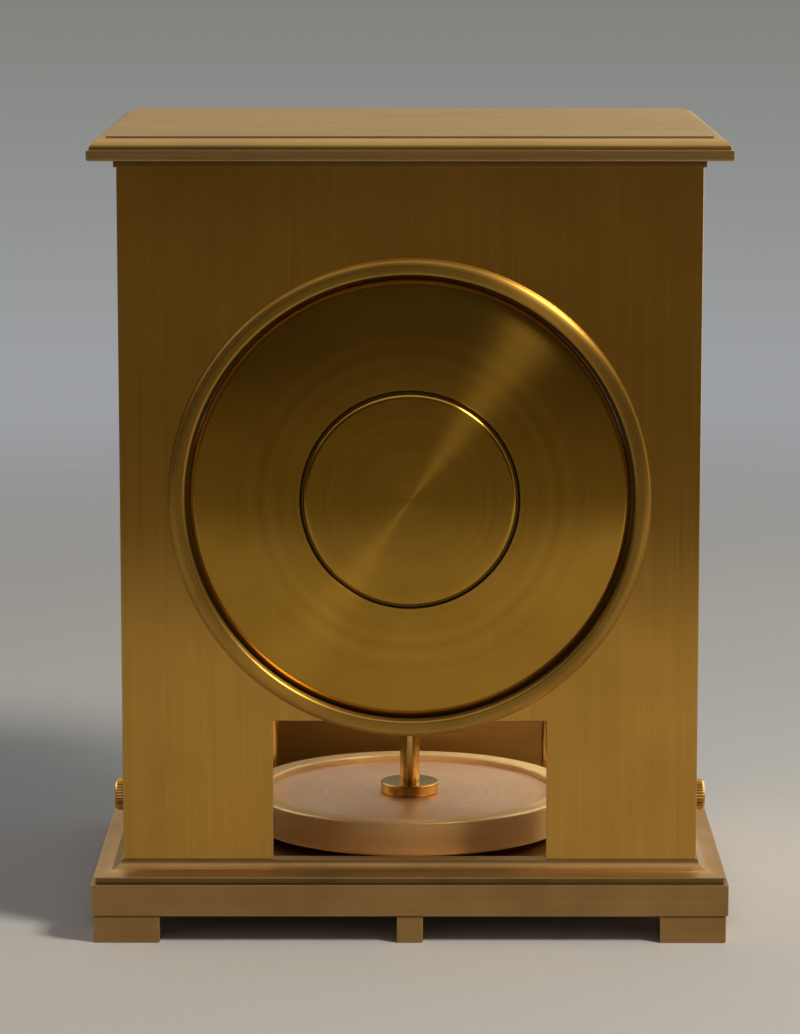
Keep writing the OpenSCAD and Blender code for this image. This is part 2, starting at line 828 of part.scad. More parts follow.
module return_spring() color([0.35, 0.38, 0.45]) {
    along_y(rear_plate_1 + run_gap, pulley_y - pulley_half - run_gap, barrel_at)
        spiral(barrel_shaft_r + run_gap, pulley_r, 4, 0.4, 16);
}

chain_flat = chain_start - roller_y;
chain_bend = roller_r * PI / 2;
chain_rise = barrel_at[1] - roller_z;
chain_wrap = pulley_r * PI;
bead_count = floor((chain_flat + chain_bend + chain_rise + chain_wrap) / bead_pitch);

// A place on the chain, s millimetres from the push plate
function chain_place(s) =
    s < chain_flat ? [0, chain_start - s, drum_z] :
    s < chain_flat + chain_bend ?
        let (a = (s - chain_flat) / roller_r * 180 / PI)
            [0, roller_y - roller_r * sin(a), roller_z - roller_r * cos(a)] :
    s < chain_flat + chain_bend + chain_rise ?
        [0, pulley_y, roller_z + s - chain_flat - chain_bend] :
        let (a = (s - chain_flat - chain_bend - chain_rise) / pulley_r * 180 / PI)
            [barrel_at[0] - pulley_r * cos(a), pulley_y, barrel_at[1] + pulley_r * sin(a)];

// One bead and the rod that reaches almost to the next one
module bead(from, to) {
    reach = to - from;
    ball = bead_r - 0.1;
    translate(from)
        rotate([0, acos(reach[2] / norm(reach)), atan2(reach[1], reach[0])]) {
            sphere(r = ball, $fn = 24);
            translate([0, 0, ball / 2])
                cylinder(r = 0.3, h = norm(reach) - 1.5 * ball - 0.1, $fn = 16);
        }
}

module chain() steel() {
    for (i = [0:bead_count - 1])
        bead(chain_place(i * bead_pitch), chain_place((i + 1) * bead_pitch));
}

module chain_roller() brass() {
    translate([0, roller_y, roller_z])
        rotate([0, 90, 0])
            rotate_extrude()
                polygon([[0, -ear_out], [0.8, -ear_out], [0.8, -roller_half], [roller_r + 1.4, -roller_half],
                    [roller_r + 1.4, -1.8], [roller_r - bead_r, -bead_r], [roller_r - bead_r, bead_r],
                    [roller_r + 1.4, 1.8], [roller_r + 1.4, roller_half], [0.8, roller_half],
                    [0.8, ear_out], [0, ear_out]]);
}

module roller_bracket() brass() {
    difference() {
        union() {
            for (sx = [0, 1])
                mirror([sx, 0, 0])
                    block([ear_in, rear_plate_1, roller_z - 2.4], [ear_out, roller_y + 3, roller_z + 4]);
            block([-ear_out, rear_plate_1, roller_z - 0.5], [ear_out, rear_plate_1 + 1.5, roller_z + 8]);
        }
        rod_x(0.8 + shaft_gap, -ear_out - 1, ear_out + 1, roller_y, roller_z);
    }
}

// Going train and motion work

module centre_arbor() steel() {
    rod_y(centre_r, arbor_end, rear_plate_1, centre_at);
    along_y(great_y - 0.8, drum_0 + 0.8, centre_at)
        rotate(barrel_angle + 180 / centre_pinion_teeth)
            gear_outline(centre_pinion_teeth, train_mod);
}

module centre_wheel() brass() {
    along_y(centre_wheel_y, centre_wheel_y + wheel_t, centre_at)
        difference() {
            rotate(-90)
                gear_outline(centre_teeth, train_mod);
            crossings(4, train_mod * centre_teeth / 2 - 2.4, 5, 1.8);
            circle(r = centre_r);
        }
}

module cannon_pinion() steel() {
    difference() {
        union() {
            rod_y(cannon_r, minute_hand_y, front_plate_0 - 0.6, centre_at);
            along_y(front_plate_0 - 2, front_plate_0 - 0.6, centre_at)
                gear_outline(cannon_teeth, train_mod);
        }
        rod_y(centre_r, minute_hand_y - 1, front_plate_0, centre_at);
    }
}

module minute_wheel() brass() {
    difference() {
        union() {
            along_y(front_plate_0 - 1.9, front_plate_0 - 0.7, minute_at)
                rotate(180 / minute_teeth)
                    gear_outline(minute_teeth, train_mod);
            along_y(front_plate_0 - 4.1, front_plate_0 - 1.8, minute_at)
                gear_outline(minute_pinion_teeth, hour_mod);
        }
        rod_y(1 + shaft_gap, front_plate_0 - 5, front_plate_0, minute_at);
    }
}

module hour_wheel() brass() {
    difference() {
        union() {
            rod_y(hour_pipe_r, hour_hand_y, front_plate_0 - 2.5, centre_at);
            along_y(front_plate_0 - 3.9, front_plate_0 - 2.5, centre_at)
                rotate(180 / hour_teeth)
                    gear_outline(hour_teeth, hour_mod);
        }
        rod_y(cannon_r + shaft_gap, hour_hand_y - 1, front_plate_0, centre_at);
    }
}

module escape_arbor() steel() {
    rod_y(escape_shaft_r, front_plate_0, bridge_y + bridge_t, escape_at);
    along_y(centre_wheel_y - 0.8, centre_wheel_y + wheel_t + 0.8, escape_at)
        rotate(90 + 180 / escape_pinion_teeth)
            gear_outline(escape_pinion_teeth, train_mod);
}

escape_tooth = [[6.2, 0], [escape_r, 0.3], [escape_r, 0.38], [6.2, 0.45]];

module escape_wheel() brass() {
    along_y(escape_y, escape_y + escape_t, escape_at)
        difference() {
            polygon([for (i = [0:escape_teeth - 1], p = escape_tooth)
                p[0] * [cos(360 * (i + p[1]) / escape_teeth), sin(360 * (i + p[1]) / escape_teeth)]]);
            crossings(2.2, 5, 4, 1);
            circle(r = escape_shaft_r);
        }
}

module pallet_fork() steel() {
    rod_y(pallet_shaft_r, rear_plate_0, fork_y + fork_t, pallet_at);
    along_y(escape_y, escape_y + escape_t, pallet_at) {
        circle(r = 2.2);
        for (sx = [-1, 1]) {
            rotate(sx * 45 + 90)
                translate([0, -0.8])
                    square([9.6, 1.6]);
            rotate(sx * 45 + 90)
                translate([8.6, sx * 0.4 - 0.7])
                    square([1.2, 1.4]);
        }
    }
    along_y(fork_y, fork_y + fork_t, pallet_at) {
        circle(r = 1.8);
        fork_l = pallet_at[1] - pin_z - 1.1;
        translate([-0.9, -fork_l + 2.4])
            square([1.8, fork_l - 2.4]);
        for (sx = [-1, 1])
            translate([sx * 1.3 - 0.5, -fork_l])
                square([1, 2.6]);
        translate([-1.8, -fork_l + 2.4])
            square([3.6, 1]);
    }
}

module escapement_bridge() brass() {
    top = escape_at[1] + 12.5;
    low = pallet_at[1] - 10.5;
    difference() {
        union() {
            block([-5, bridge_y, low], [5, bridge_y + bridge_t, top]);
            block([-5, rear_plate_1, top - 3.5], [5, bridge_y + eps, top]);
            block([-5, rear_plate_1, low], [5, bridge_y + eps, low + 3.5]);
        }
        rod_y(escape_shaft_r + shaft_gap, bridge_y - 1, bridge_y + bridge_t + 1, escape_at);
        rod_y(pallet_shaft_r + shaft_gap, bridge_y - 1, bridge_y + bridge_t + 1, pallet_at);
    }
}

// Balance and its suspension

module suspension_block() brass() {
    for (sx = [0, 1])
        mirror([sx, 0, 0])
            block([arm_x0, rear_plate_1, block_z1 - 6], [arm_x1, block_half, block_z1]);
    block([-arm_x1, -block_half, block_z1 - 6], [arm_x1, block_half, block_z1]);
    difference() {
        block([-block_half, -block_half, block_z0], [block_half, block_half, block_z1 - 6 + eps]);
        rod_z(wire_r, block_z0 - 1, block_z0 + 4);
    }
}

module suspension_wire() steel() {
    rod_z(wire_r, hub_z0, block_z0 + 4);
}

module balance_tube() brass() {
    difference() {
        union() {
            rod_z(tube_r, hub_z1, tube_top);
            rod_z(tube_r + 1.8, pin_z - roller_h / 2, pin_z + roller_h / 2);
            translate([0, 0, pin_z])
                rotate([90, 0, 0])
                    cylinder(r = pin_r, h = pin_reach);
        }
        rod_z(tube_in, hub_z1 - 1, tube_top + 1);
    }
}

module balance_plate() color([0.78, 0.58, 0.42]) {
    difference() {
        rod_z(balance_r - rim_w, web_z, web_z + web_t);
        rod_z(hub_r - 4, web_z - 1, web_z + web_t + 1);
    }
}

module balance_rim() brass() {
    rim_in = balance_r - rim_w;
    turned_z([[rim_in, balance_z], [balance_r - 0.6, balance_z], [balance_r, balance_z + 0.6],
        [balance_r, balance_top - 0.6], [balance_r - 0.6, balance_top], [rim_in + 1.4, balance_top],
        [rim_in, balance_top - 1.2]]);
}

module balance_hub() brass() {
    turned_z([[wire_r, hub_z0], [hub_r - 4, hub_z0], [hub_r - 4, web_z + web_t], [hub_r, web_z + web_t],
        [hub_r, hub_z1 - 0.8], [hub_r - 0.8, hub_z1], [wire_r, hub_z1]]);
}

// Bellows unit

module bellows_drum() brass() {
    turned_y([[chain_hole_r, drum_front], [drum_r, drum_front], [drum_r, cover_seat],
        [drum_r - drum_wall, cover_seat], [drum_r - drum_wall, drum_floor], [chain_hole_r, drum_floor]],
        centre_at);
}

// Face of the drum cover, from its middle to its edge, as radius and how far it stands out
cover_face = concat([for (t = [0:0.25:1]) [t * (cover_disc_r - 1.4), 3 - 0.6 * t * t]],
    arc(cover_disc_r - 1.4, 1, 1.4, 1.4, 75, 0, 4),
    [[cover_disc_r + 0.3, 1]],
    [for (t = [0:0.125:1])
        [cover_disc_r + 1 + t * (drum_r - cover_disc_r - 3.4), 1.9 - 1.05 * t - 1.3 * t * t]],
    arc(drum_r - 2.4, -2.25, 2.4, 1.8, 75, 0, 6));

module bellows_cover() brass() {
    skin = [for (i = [len(cover_face) - 2:-1:0])
        [min(cover_face[i][0], drum_r - drum_wall - cover_skin), cover_y + cover_face[i][1] - cover_skin]];
    turned_y(concat([for (p = cover_face) [p[0], cover_y + p[1]]],
        [[drum_r, cover_seat], [drum_r - drum_wall, cover_seat], [drum_r - drum_wall, cover_seat - 2.4],
        [drum_r - drum_wall - cover_skin, cover_seat - 2.4]], skin), centre_at);
}

module bellows_capsule() color([0.66, 0.56, 0.4]) {
    fold = (capsule_l - 2) / capsule_folds;
    wall = [for (i = [0:capsule_folds - 1], k = [0, 0.5])
        [capsule_r - (k == 0 ? 0 : fold_depth), capsule_y0 + 1 + fold * (i + k)]];
    outer = concat(wall, [[capsule_r, capsule_y1 - 1], [capsule_r, capsule_y1]]);
    inner = [for (i = [len(outer) - 1:-1:0]) [outer[i][0] - capsule_skin * 1.8, outer[i][1]]];
    turned_y(concat([[0, capsule_y0], [capsule_r, capsule_y0]], outer, inner,
        [[0, capsule_y0 + 1]]), centre_at);
}

module push_plate() steel() {
    turned_y([[0, push_y0 - push_boss], [3, push_y0 - push_boss], [3, push_y0], [push_r, push_y0],
        [push_r, push_y1], [0, push_y1]], centre_at);
}

// Bellows spring: a wire of round section along a helix, with straight ends square to the plates
spring_rings = 8;
spring_sides = 6;
spring_len = push_y0 - drum_floor;
spring_end = 2 * spring_wire_r;
spring_rise = spring_len - 2 * spring_end;
spring_steps = spring_curls * spring_rings;

function spring_turn(i) = 360 * i / spring_rings;
function spring_point(i) =
    i < 0 ? [spring_r, drum_floor, 0] :
    i > spring_steps ? [spring_r * cos(spring_turn(i - 1)), push_y0, spring_r * sin(spring_turn(i - 1))] :
    [spring_r * cos(spring_turn(i)), drum_floor + spring_end + spring_rise * i / spring_steps,
        spring_r * sin(spring_turn(i))];
function unit(v) = v / norm(v);
function spring_way(i) =
    (i < 0 || i > spring_steps) ? [0, 1, 0] : unit(spring_point(i + 1) - spring_point(i - 1));
function spring_out(i) = let (a = spring_turn(max(0, min(i, spring_steps)))) [cos(a), 0, sin(a)];

module bellows_spring() color([0.4, 0.4, 0.42]) {
    points = [for (i = [-1:spring_steps + 1])
        let (out = spring_out(i), side = unit(cross(out, spring_way(i))))
            for (k = [0:spring_sides - 1])
                let (a = 360 * k / spring_sides)
                    spring_point(i) + spring_wire_r * (cos(a) * out + sin(a) * side)];
    rings = spring_steps + 3;
    sides = [for (i = [0:rings - 2], k = [0:spring_sides - 1], half = [0, 1])
        let (a = i * spring_sides + k, b = i * spring_sides + (k + 1) % spring_sides)
            half == 0 ? [a, b, b + spring_sides] : [a, b + spring_sides, a + spring_sides]];
    end = (rings - 1) * spring_sides;
    caps = [for (k = [1:spring_sides - 2], half = [0, 1])
        half == 0 ? [0, k + 1, k] : [end, end + k, end + k + 1]];
    translate([0, 0, drum_z])
        polyhedron(points, concat(sides, caps));
}

// The least gap between one curl of the spring and the next
spring_gap = min([for (i = [0:spring_steps], j = [i + spring_rings / 2:spring_steps])
    norm(spring_point(i) - spring_point(j))]) - 2 * spring_wire_r;
echo(bellows_spring_least_gap = spring_gap);

// Locking and levelling

module lock_lever() steel() {
    rod_z(2.4, floor_top, lever_z + lever_t, [0, lever_y]);
    block([-1.4, lever_y, lever_z], [1.4, -lifter_r + 3, lever_z + lever_t]);
    block([-1.4, lever_y - 4, lever_z], [1.4, lever_y, lever_z + lever_t]);
    block([-1.4, lever_y - 4, lever_z], [1.4, lever_y - 3, lever_z + 17]);
}

module lifter() brass() {
    rod_z(lifter_r, lever_z + lever_t + run_gap, lever_z + lever_t + run_gap + 0.8);
    rod_z(3, lever_z + lever_t + run_gap, hub_z0 - 2.4);
}

base_plinth();
feet();
left_levelling_foot();
right_levelling_foot();
base_plate();
left_side_frame();
right_side_frame();
side_glasses();
front_rails();
back_panel();
drum_ring();
lid();
left_thumbscrew();
right_thumbscrew();
door_frame();
door_glass();
door_knob();
chapter_ring();
hour_markers();
hour_hand();
minute_hand();
hand_nut();
front_plate();
rear_plate();
support_columns();
turned_pillars();
plate_screws();
bushes();
mainspring_barrel();
barrel_cover();
mainspring();
barrel_arbor();
winding_pulley();
click();
return_spring();
chain();
chain_roller();
roller_bracket();
centre_arbor();
centre_wheel();
cannon_pinion();
minute_wheel();
hour_wheel();
escape_arbor();
escape_wheel();
pallet_fork();
escapement_bridge();
suspension_block();
suspension_wire();
balance_tube();
balance_plate();
balance_rim();
balance_hub();
bellows_drum();
bellows_cover();
bellows_capsule();
push_plate();
bellows_spring();
lock_lever();
lifter();
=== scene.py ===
# %% [markdown]
# # An atmospheric clock, seen from behind
# This mantel clock stands in a case of brass and glass. Warmth and cold make a bellows in the round drum
# breathe, and that winds the spring. A heavy balance on a wire turns slowly in the opening below. The packed
# CAD model gives every piece its place and size, so the first step loads it.

# %% Load the imported model
import bpy
import bmesh
import json
import math
from mathutils import Matrix, Vector


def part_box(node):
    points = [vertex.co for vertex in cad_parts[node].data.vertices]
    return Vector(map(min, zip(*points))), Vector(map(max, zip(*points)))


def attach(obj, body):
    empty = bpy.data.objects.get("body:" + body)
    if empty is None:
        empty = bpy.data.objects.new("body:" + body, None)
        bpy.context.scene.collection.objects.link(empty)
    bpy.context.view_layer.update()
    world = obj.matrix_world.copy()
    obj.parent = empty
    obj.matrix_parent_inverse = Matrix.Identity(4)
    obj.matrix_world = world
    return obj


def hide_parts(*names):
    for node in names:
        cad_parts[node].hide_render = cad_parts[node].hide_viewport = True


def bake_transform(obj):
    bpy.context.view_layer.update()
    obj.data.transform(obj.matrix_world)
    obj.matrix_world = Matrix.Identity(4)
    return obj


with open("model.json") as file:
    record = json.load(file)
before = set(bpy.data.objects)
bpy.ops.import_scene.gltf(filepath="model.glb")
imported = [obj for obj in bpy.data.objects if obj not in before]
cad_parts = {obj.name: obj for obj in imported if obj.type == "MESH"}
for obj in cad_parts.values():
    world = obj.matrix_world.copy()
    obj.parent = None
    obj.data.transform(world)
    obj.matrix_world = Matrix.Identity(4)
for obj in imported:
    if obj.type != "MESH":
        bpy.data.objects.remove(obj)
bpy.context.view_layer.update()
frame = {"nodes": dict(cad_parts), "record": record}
CAD = frame["nodes"]
MM = 0.001

# %% [markdown]
# ## The camera
# The photograph looks straight at the back panel from about 1.2 m away and a little above. A long lens at
# that distance keeps the sides of the case out of sight. A short lens close by would show them, so the lens
# was worked out from how much narrower the far edge of the lid looks. The camera is turned by a hair, because
# the clock stands slightly to the right of the picture's middle.

# %% Camera at the photograph's place
PHOTO_H = 1034
FOCAL_PX = 4022
RIGHT_OF_MIDDLE_PX = 10
LOOKS_DOWN_DEG = 9.1
camera_data = bpy.data.cameras.new("camera")
camera_data.sensor_width = 36
camera_data.lens = camera_data.sensor_width * FOCAL_PX / PHOTO_H
camera_data.clip_start = 0.01
camera = bpy.data.objects.new("camera", camera_data)
camera.location = (0, 1.217, 0.309)
down, aside = math.radians(LOOKS_DOWN_DEG), math.atan2(RIGHT_OF_MIDDLE_PX, FOCAL_PX)
gaze = Vector((math.sin(aside) * math.cos(down), -math.cos(aside) * math.cos(down), -math.sin(down)))
camera.rotation_euler = gaze.to_track_quat("-Z", "Y").to_euler()
bpy.context.scene.collection.objects.link(camera)
bpy.context.scene.camera = camera
bpy.context.scene.view_settings.view_transform = "Standard"
print("lens", round(camera_data.lens, 1), "mm")


# %% [markdown]
# ## Colours and nodes
# Colours are written as sRGB hex values, the way a colour picker shows them, and one function turns them
# into the linear values that Blender works with. One more small function adds a shader node, sets it up
# and links it. A material could also be clicked together by hand, but a script builds it the same each time.


# %% Helpers for colours and shader nodes
def colour(hex_code):
    parts = [int(hex_code[i:i + 2], 16) / 255 for i in (1, 3, 5)]
    return tuple(p / 12.92 if p <= 0.04045 else ((p + 0.055) / 1.055) ** 2.4 for p in parts) + (1.0,)


def add(tree, kind, sockets=None, **settings):
    node = tree.nodes.new(kind)
    for name, value in settings.items():
        setattr(node, name, value)
    for socket, value in (sockets or {}).items():
        if isinstance(value, bpy.types.NodeSocket):
            tree.links.new(value, node.inputs[socket])
        else:
            node.inputs[socket].default_value = value
    return node


def new_material(name):
    material = bpy.data.materials.new(name)
    material.use_nodes = True
    tree = material.node_tree
    tree.nodes.clear()
    return material, tree


print("brass written as #b58a38 is", [round(v, 3) for v in colour("#b58a38")])


# %% [markdown]
# ## Tool marks
# Bare metal is never flat in colour. A belt leaves long straight scratches, and a lathe leaves fine rings.
# Both stretch a reflection across their own direction, and that is what the eye reads as brushed or spun
# brass. Real scratches are 0.05 to 0.1 mm wide, which is finer than a pixel here, so they are drawn about
# four times as coarse. Straight marks are noise that is squeezed across the scratch and drawn out along it.
# The noise is shifted, because all its layers meet at its own zero point and leave a dash in the middle of
# the lid.
# On a frame they run upright in the stiles, which are whatever lies outside 74 mm across and 57 mm deep, and
# level in the rails. Rings are noise that depends only on the distance from the lathe's axis.


# %% Straight marks and rings
STILE_X_MM, STILE_Y_MM = 74, 57
NOISE_SHIFT = (31.7, 27.1, 19.3)


def straight_marks(tree, fine_mm, run_mm, way):
    place = add(tree, "ShaderNodeTexCoord").outputs["Object"]
    scale = [1 / (run_mm * MM) if axis in way else 1 / (fine_mm * MM) for axis in "XYZ"]
    squeezed = add(tree, "ShaderNodeVectorMath", {0: place, 1: scale, 2: NOISE_SHIFT},
                   operation="MULTIPLY_ADD")
    fine = add(tree, "ShaderNodeTexNoise", {"Vector": squeezed.outputs[0], "Scale": 1.0, "Detail": 3.0,
                                            "Roughness": 0.6})
    broad = add(tree, "ShaderNodeTexNoise", {"Vector": squeezed.outputs[0], "Scale": 0.17, "Detail": 2.0})
    return add(tree, "ShaderNodeMix", {"Factor": 0.4, "A": fine.outputs["Fac"], "B": broad.outputs["Fac"]},
               data_type="FLOAT").outputs["Result"]


def ring_marks(tree, fine_mm, axis, centre_mm):
    place = add(tree, "ShaderNodeTexCoord").outputs["Object"]
    centre = [v * MM for v in centre_mm]
    keep = [0.0 if name == axis else 1.0 for name in "XYZ"]
    offset = add(tree, "ShaderNodeVectorMath", {0: place, 1: centre}, operation="SUBTRACT").outputs[0]
    across = add(tree, "ShaderNodeVectorMath", {0: offset, 1: keep}, operation="MULTIPLY").outputs[0]
    radius = add(tree, "ShaderNodeVectorMath", {0: across}, operation="LENGTH").outputs["Value"]
    fine = add(tree, "ShaderNodeTexNoise", {"W": radius, "Scale": 1 / (fine_mm * MM), "Detail": 3.0,
                                            "Roughness": 0.6}, noise_dimensions="1D")
    broad = add(tree, "ShaderNodeTexNoise", {"W": radius, "Scale": 0.15 / (fine_mm * MM), "Detail": 1.0},
                noise_dimensions="1D")
    return add(tree, "ShaderNodeMix", {"Factor": 0.4, "A": fine.outputs["Fac"], "B": broad.outputs["Fac"]},
               data_type="FLOAT").outputs["Result"]


def frame_marks(tree, fine_mm, run_mm):
    place = add(tree, "ShaderNodeTexCoord").outputs["Object"]
    apart = add(tree, "ShaderNodeVectorMath", {0: place}, operation="ABSOLUTE").outputs[0]
    at = add(tree, "ShaderNodeSeparateXYZ", {0: apart}).outputs
    wide = add(tree, "ShaderNodeMath", {0: at["X"], 1: STILE_X_MM * MM}, operation="GREATER_THAN").outputs[0]
    deep = add(tree, "ShaderNodeMath", {0: at["Y"], 1: STILE_Y_MM * MM}, operation="GREATER_THAN").outputs[0]
    stile = add(tree, "ShaderNodeMath", {0: wide, 1: deep}, operation="MULTIPLY").outputs[0]
    return add(tree, "ShaderNodeMix", {"Factor": stile, "A": straight_marks(tree, fine_mm, run_mm, "XY"),
                                       "B": straight_marks(tree, fine_mm, run_mm, "Z")},
               data_type="FLOAT").outputs["Result"]


def fine_grain(tree, grain_mm):
    place = add(tree, "ShaderNodeTexCoord").outputs["Object"]
    return add(tree, "ShaderNodeTexNoise", {"Vector": place, "Scale": 1 / (grain_mm * MM), "Detail": 3.0,
                                            "Roughness": 0.55}).outputs["Fac"]


# %% [markdown]
# ## Metals
# Every metal here is built in the same way: a clean tone and a tarnished one, which a soft cloud of noise
# mixes, tool marks that shift the colour, the gloss and the surface, and worn edges. Fingers and cloths
# polish the edges of a case first, so a Bevel node finds them: there its rounded normal leaves the true
# one. An Ambient Occlusion node darkens the colour in inner corners and recesses, which is painted shade. A
# metal has no colour of its own under the surface, so Metallic is 1 and the IOR stays at its default. Deep
# lathe lines and old lacquer scatter a share of the light widely round the sharp reflection. That haze is a
# second, rougher shader mixed in: haze is its share, its roughness and how far it is drawn out.


# %% One recipe for worked metal
def worked_metal(name, clean, tarnished, gloss, marks, depth_um, stretch=0.0, turn=0.0, axis=None,
                 edge_mm=0.5, painted_recess_shade=0.75, haze=(0.0, 0.5, 0.0), lines=0.14):
    material, tree = new_material(name)
    height = marks(tree)
    place = add(tree, "ShaderNodeTexCoord").outputs["Object"]
    cloud = add(tree, "ShaderNodeTexNoise", {"Vector": place, "Scale": 28.0, "Detail": 5.0,
                                             "Roughness": 0.6}).outputs["Fac"]
    breath = add(tree, "ShaderNodeMapRange", {"Value": cloud, "From Min": 0.35, "From Max": 0.75},
                 interpolation_type="SMOOTHSTEP").outputs["Result"]
    toned = add(tree, "ShaderNodeMix", {"Factor": breath, "A": colour(clean), "B": colour(tarnished)},
                data_type="RGBA").outputs["Result"]
    shade = add(tree, "ShaderNodeMapRange", {"Value": height, "From Min": 0.3, "From Max": 0.7,
                                             "To Min": 1 - lines, "To Max": 1 + lines / 2}).outputs["Result"]
    lined = add(tree, "ShaderNodeVectorMath", {0: toned, 1: shade}, operation="MULTIPLY").outputs[0]
    rounded = add(tree, "ShaderNodeBevel", {"Radius": edge_mm * MM}, samples=4).outputs["Normal"]
    true = add(tree, "ShaderNodeNewGeometry").outputs["Normal"]
    bend = add(tree, "ShaderNodeVectorMath", {0: rounded, 1: true}, operation="DOT_PRODUCT").outputs["Value"]
    worn = add(tree, "ShaderNodeMapRange", {"Value": bend, "From Min": 0.995, "From Max": 0.9,
                                            "To Min": 0.0, "To Max": 0.5}).outputs["Result"]
    polished = add(tree, "ShaderNodeMix", {"Factor": worn, "A": lined, "B": colour("#e6c88c")},
                   data_type="RGBA").outputs["Result"]
    # Painted shade: the Ambient Occlusion value darkens the base colour in inner corners and recesses.
    recess_mask_for_shade = add(tree, "ShaderNodeAmbientOcclusion", {"Distance": 5 * MM}, samples=4,
                   only_local=True).outputs["AO"]
    kept = add(tree, "ShaderNodeMapRange", {"Value": recess_mask_for_shade, "From Min": 0.45, "From Max": 0.92,
                                            "To Min": 1 - painted_recess_shade, "To Max": 1.0}).outputs["Result"]
    bright = add(tree, "ShaderNodeVectorMath", {0: polished, 1: kept}, operation="MULTIPLY").outputs[0]
    uneven = add(tree, "ShaderNodeMath", {0: height, 1: cloud}, operation="ADD").outputs[0]
    rough = add(tree, "ShaderNodeMapRange", {"Value": uneven, "From Min": 0.7, "From Max": 1.3,
                                             "To Min": gloss[0], "To Max": gloss[1]}).outputs["Result"]
    bumped = add(tree, "ShaderNodeBump", {"Strength": 1.0, "Distance": depth_um * MM * MM, "Height": height})
    if axis:
        along = add(tree, "ShaderNodeTangent", direction_type="RADIAL", axis=axis).outputs[0]
    else:
        level = add(tree, "ShaderNodeVectorMath", {0: (0, 0, 1), 1: true},
                    operation="CROSS_PRODUCT").outputs[0]
        width = add(tree, "ShaderNodeVectorMath", {0: level}, operation="LENGTH").outputs["Value"]
        is_top = add(tree, "ShaderNodeMath", {0: width, 1: 0.2}, operation="LESS_THAN").outputs[0]
        along = add(tree, "ShaderNodeMix", {"Factor": is_top, "A": level, "B": (1, 0, 0)},
                    data_type="VECTOR").outputs["Result"]
    sockets = {"Base Color": bright, "Metallic": 1.0, "Roughness": rough, "Anisotropic": stretch,
               "Anisotropic Rotation": turn, "Tangent": along, "Normal": bumped.outputs[0]}
    surface = add(tree, "ShaderNodeBsdfPrincipled", sockets).outputs[0]
    share, wide, drawn_out = haze
    if share:
        sockets.update({"Roughness": wide, "Anisotropic": drawn_out})
        veil = add(tree, "ShaderNodeBsdfPrincipled", sockets).outputs[0]
        surface = add(tree, "ShaderNodeMixShader", {0: share, 1: surface, 2: veil}).outputs[0]
    add(tree, "ShaderNodeOutputMaterial", {"Surface": surface})
    return material


# %% [markdown]
# ## The brasses
# The back panel was brushed from top to bottom on a belt and lacquered, so a lamp smears sideways on it.
# The drum's cover was spun on a lathe over a wooden form, and its rings smear the light into one spoke that
# points at the lamp. The lid, base and frames are satin brass, greyer under old lacquer. Knobs and pillars
# are turned and polished, and the ring round the drum is a little duller. Movement parts are gilt, which is
# paler and stays clean. The balance's rim is a pale brass, left satin, and its disc is a pinker alloy with
# fine rings from the lathe.

# %% Brass in nine finishes, and the pink alloy
DRUM_Z = 130
brushed_brass = worked_metal(
    "brushed_lacquered_brass", "#c69645", "#bb8d3e", (0.17, 0.23),
    lambda tree: straight_marks(tree, 0.4, 45, "Z"), 7, stretch=0.95, haze=(0.06, 0.5, 0.0))
spun_brass = worked_metal(
    "spun_brass", "#bc8f37", "#ae832f", (0.13, 0.18),
    lambda tree: ring_marks(tree, 0.45, "Y", (0, 0, DRUM_Z)), 1.5, stretch=0.6, turn=0.25, axis="Y",
    edge_mm=0.3, haze=(0.2, 0.35, 0.97))
case_brass = worked_metal(
    "satin_case_brass", "#bf9a5d", "#b28d53", (0.27, 0.36),
    lambda tree: straight_marks(tree, 0.4, 30, "X"), 5, stretch=0.5, turn=0.25, painted_recess_shade=0.9,
    haze=(0.35, 0.5, 0.7))
# The base and the feet take a darker, browner copy of the case brass.
base_brass = worked_metal(
    "darker_base_brass", "#b38e58", "#a17d4a", (0.3, 0.4),
    lambda tree: straight_marks(tree, 0.4, 30, "X"), 5, stretch=0.5, turn=0.25, haze=(0.35, 0.5, 0.7))
frame_brass = worked_metal(
    "satin_frame_brass", "#bd9a62", "#af8d57", (0.25, 0.34),
    lambda tree: frame_marks(tree, 0.4, 30), 5, stretch=0.3, haze=(0.2, 0.5, 0.0), lines=0.1)
turned_brass = worked_metal(
    "turned_polished_brass", "#cba052", "#b0863c", (0.16, 0.27),
    lambda tree: fine_grain(tree, 0.6), 2, edge_mm=0.25)
ring_brass = worked_metal(
    "turned_ring_brass", "#b98f41", "#a67d34", (0.24, 0.3),
    lambda tree: ring_marks(tree, 0.3, "Y", (0, 0, DRUM_Z)), 3, stretch=0.5, turn=0.25, axis="Y",
    edge_mm=0.3, haze=(0.5, 0.52, 0.85))
gilt_brass = worked_metal(
    "gilt_movement_brass", "#dcb562", "#cba151", (0.2, 0.32),
    lambda tree: straight_marks(tree, 0.12, 6, "Z"), 0.5, edge_mm=0.2, painted_recess_shade=0.25, lines=0.04)
pink_alloy = worked_metal(
    "turned_pink_alloy", "#f0c6a0", "#e6ba92", (0.32, 0.4),
    lambda tree: ring_marks(tree, 0.5, "Z", (0, 0, 0)), 4, stretch=0.3, turn=0.25, axis="Z", edge_mm=0.3,
    painted_recess_shade=0.3, haze=(0.4, 0.65, 0.0))
rim_brass = worked_metal(
    "turned_rim_brass", "#f8dba8", "#f0cf98", (0.34, 0.42),
    lambda tree: ring_marks(tree, 0.4, "Z", (0, 0, 0)), 4, edge_mm=0.3, painted_recess_shade=0.0, haze=(0.65, 1.0, 0.0))
print("brasses made, from", brushed_brass.name, "to", rim_brass.name)

# %% [markdown]
# ## Steel
# Arbors, screws and levers are ground and polished steel, a cool grey that sets off the brass. Springs are
# tempered in a flame until they turn blue, and the blue shades into purple where they got less heat.

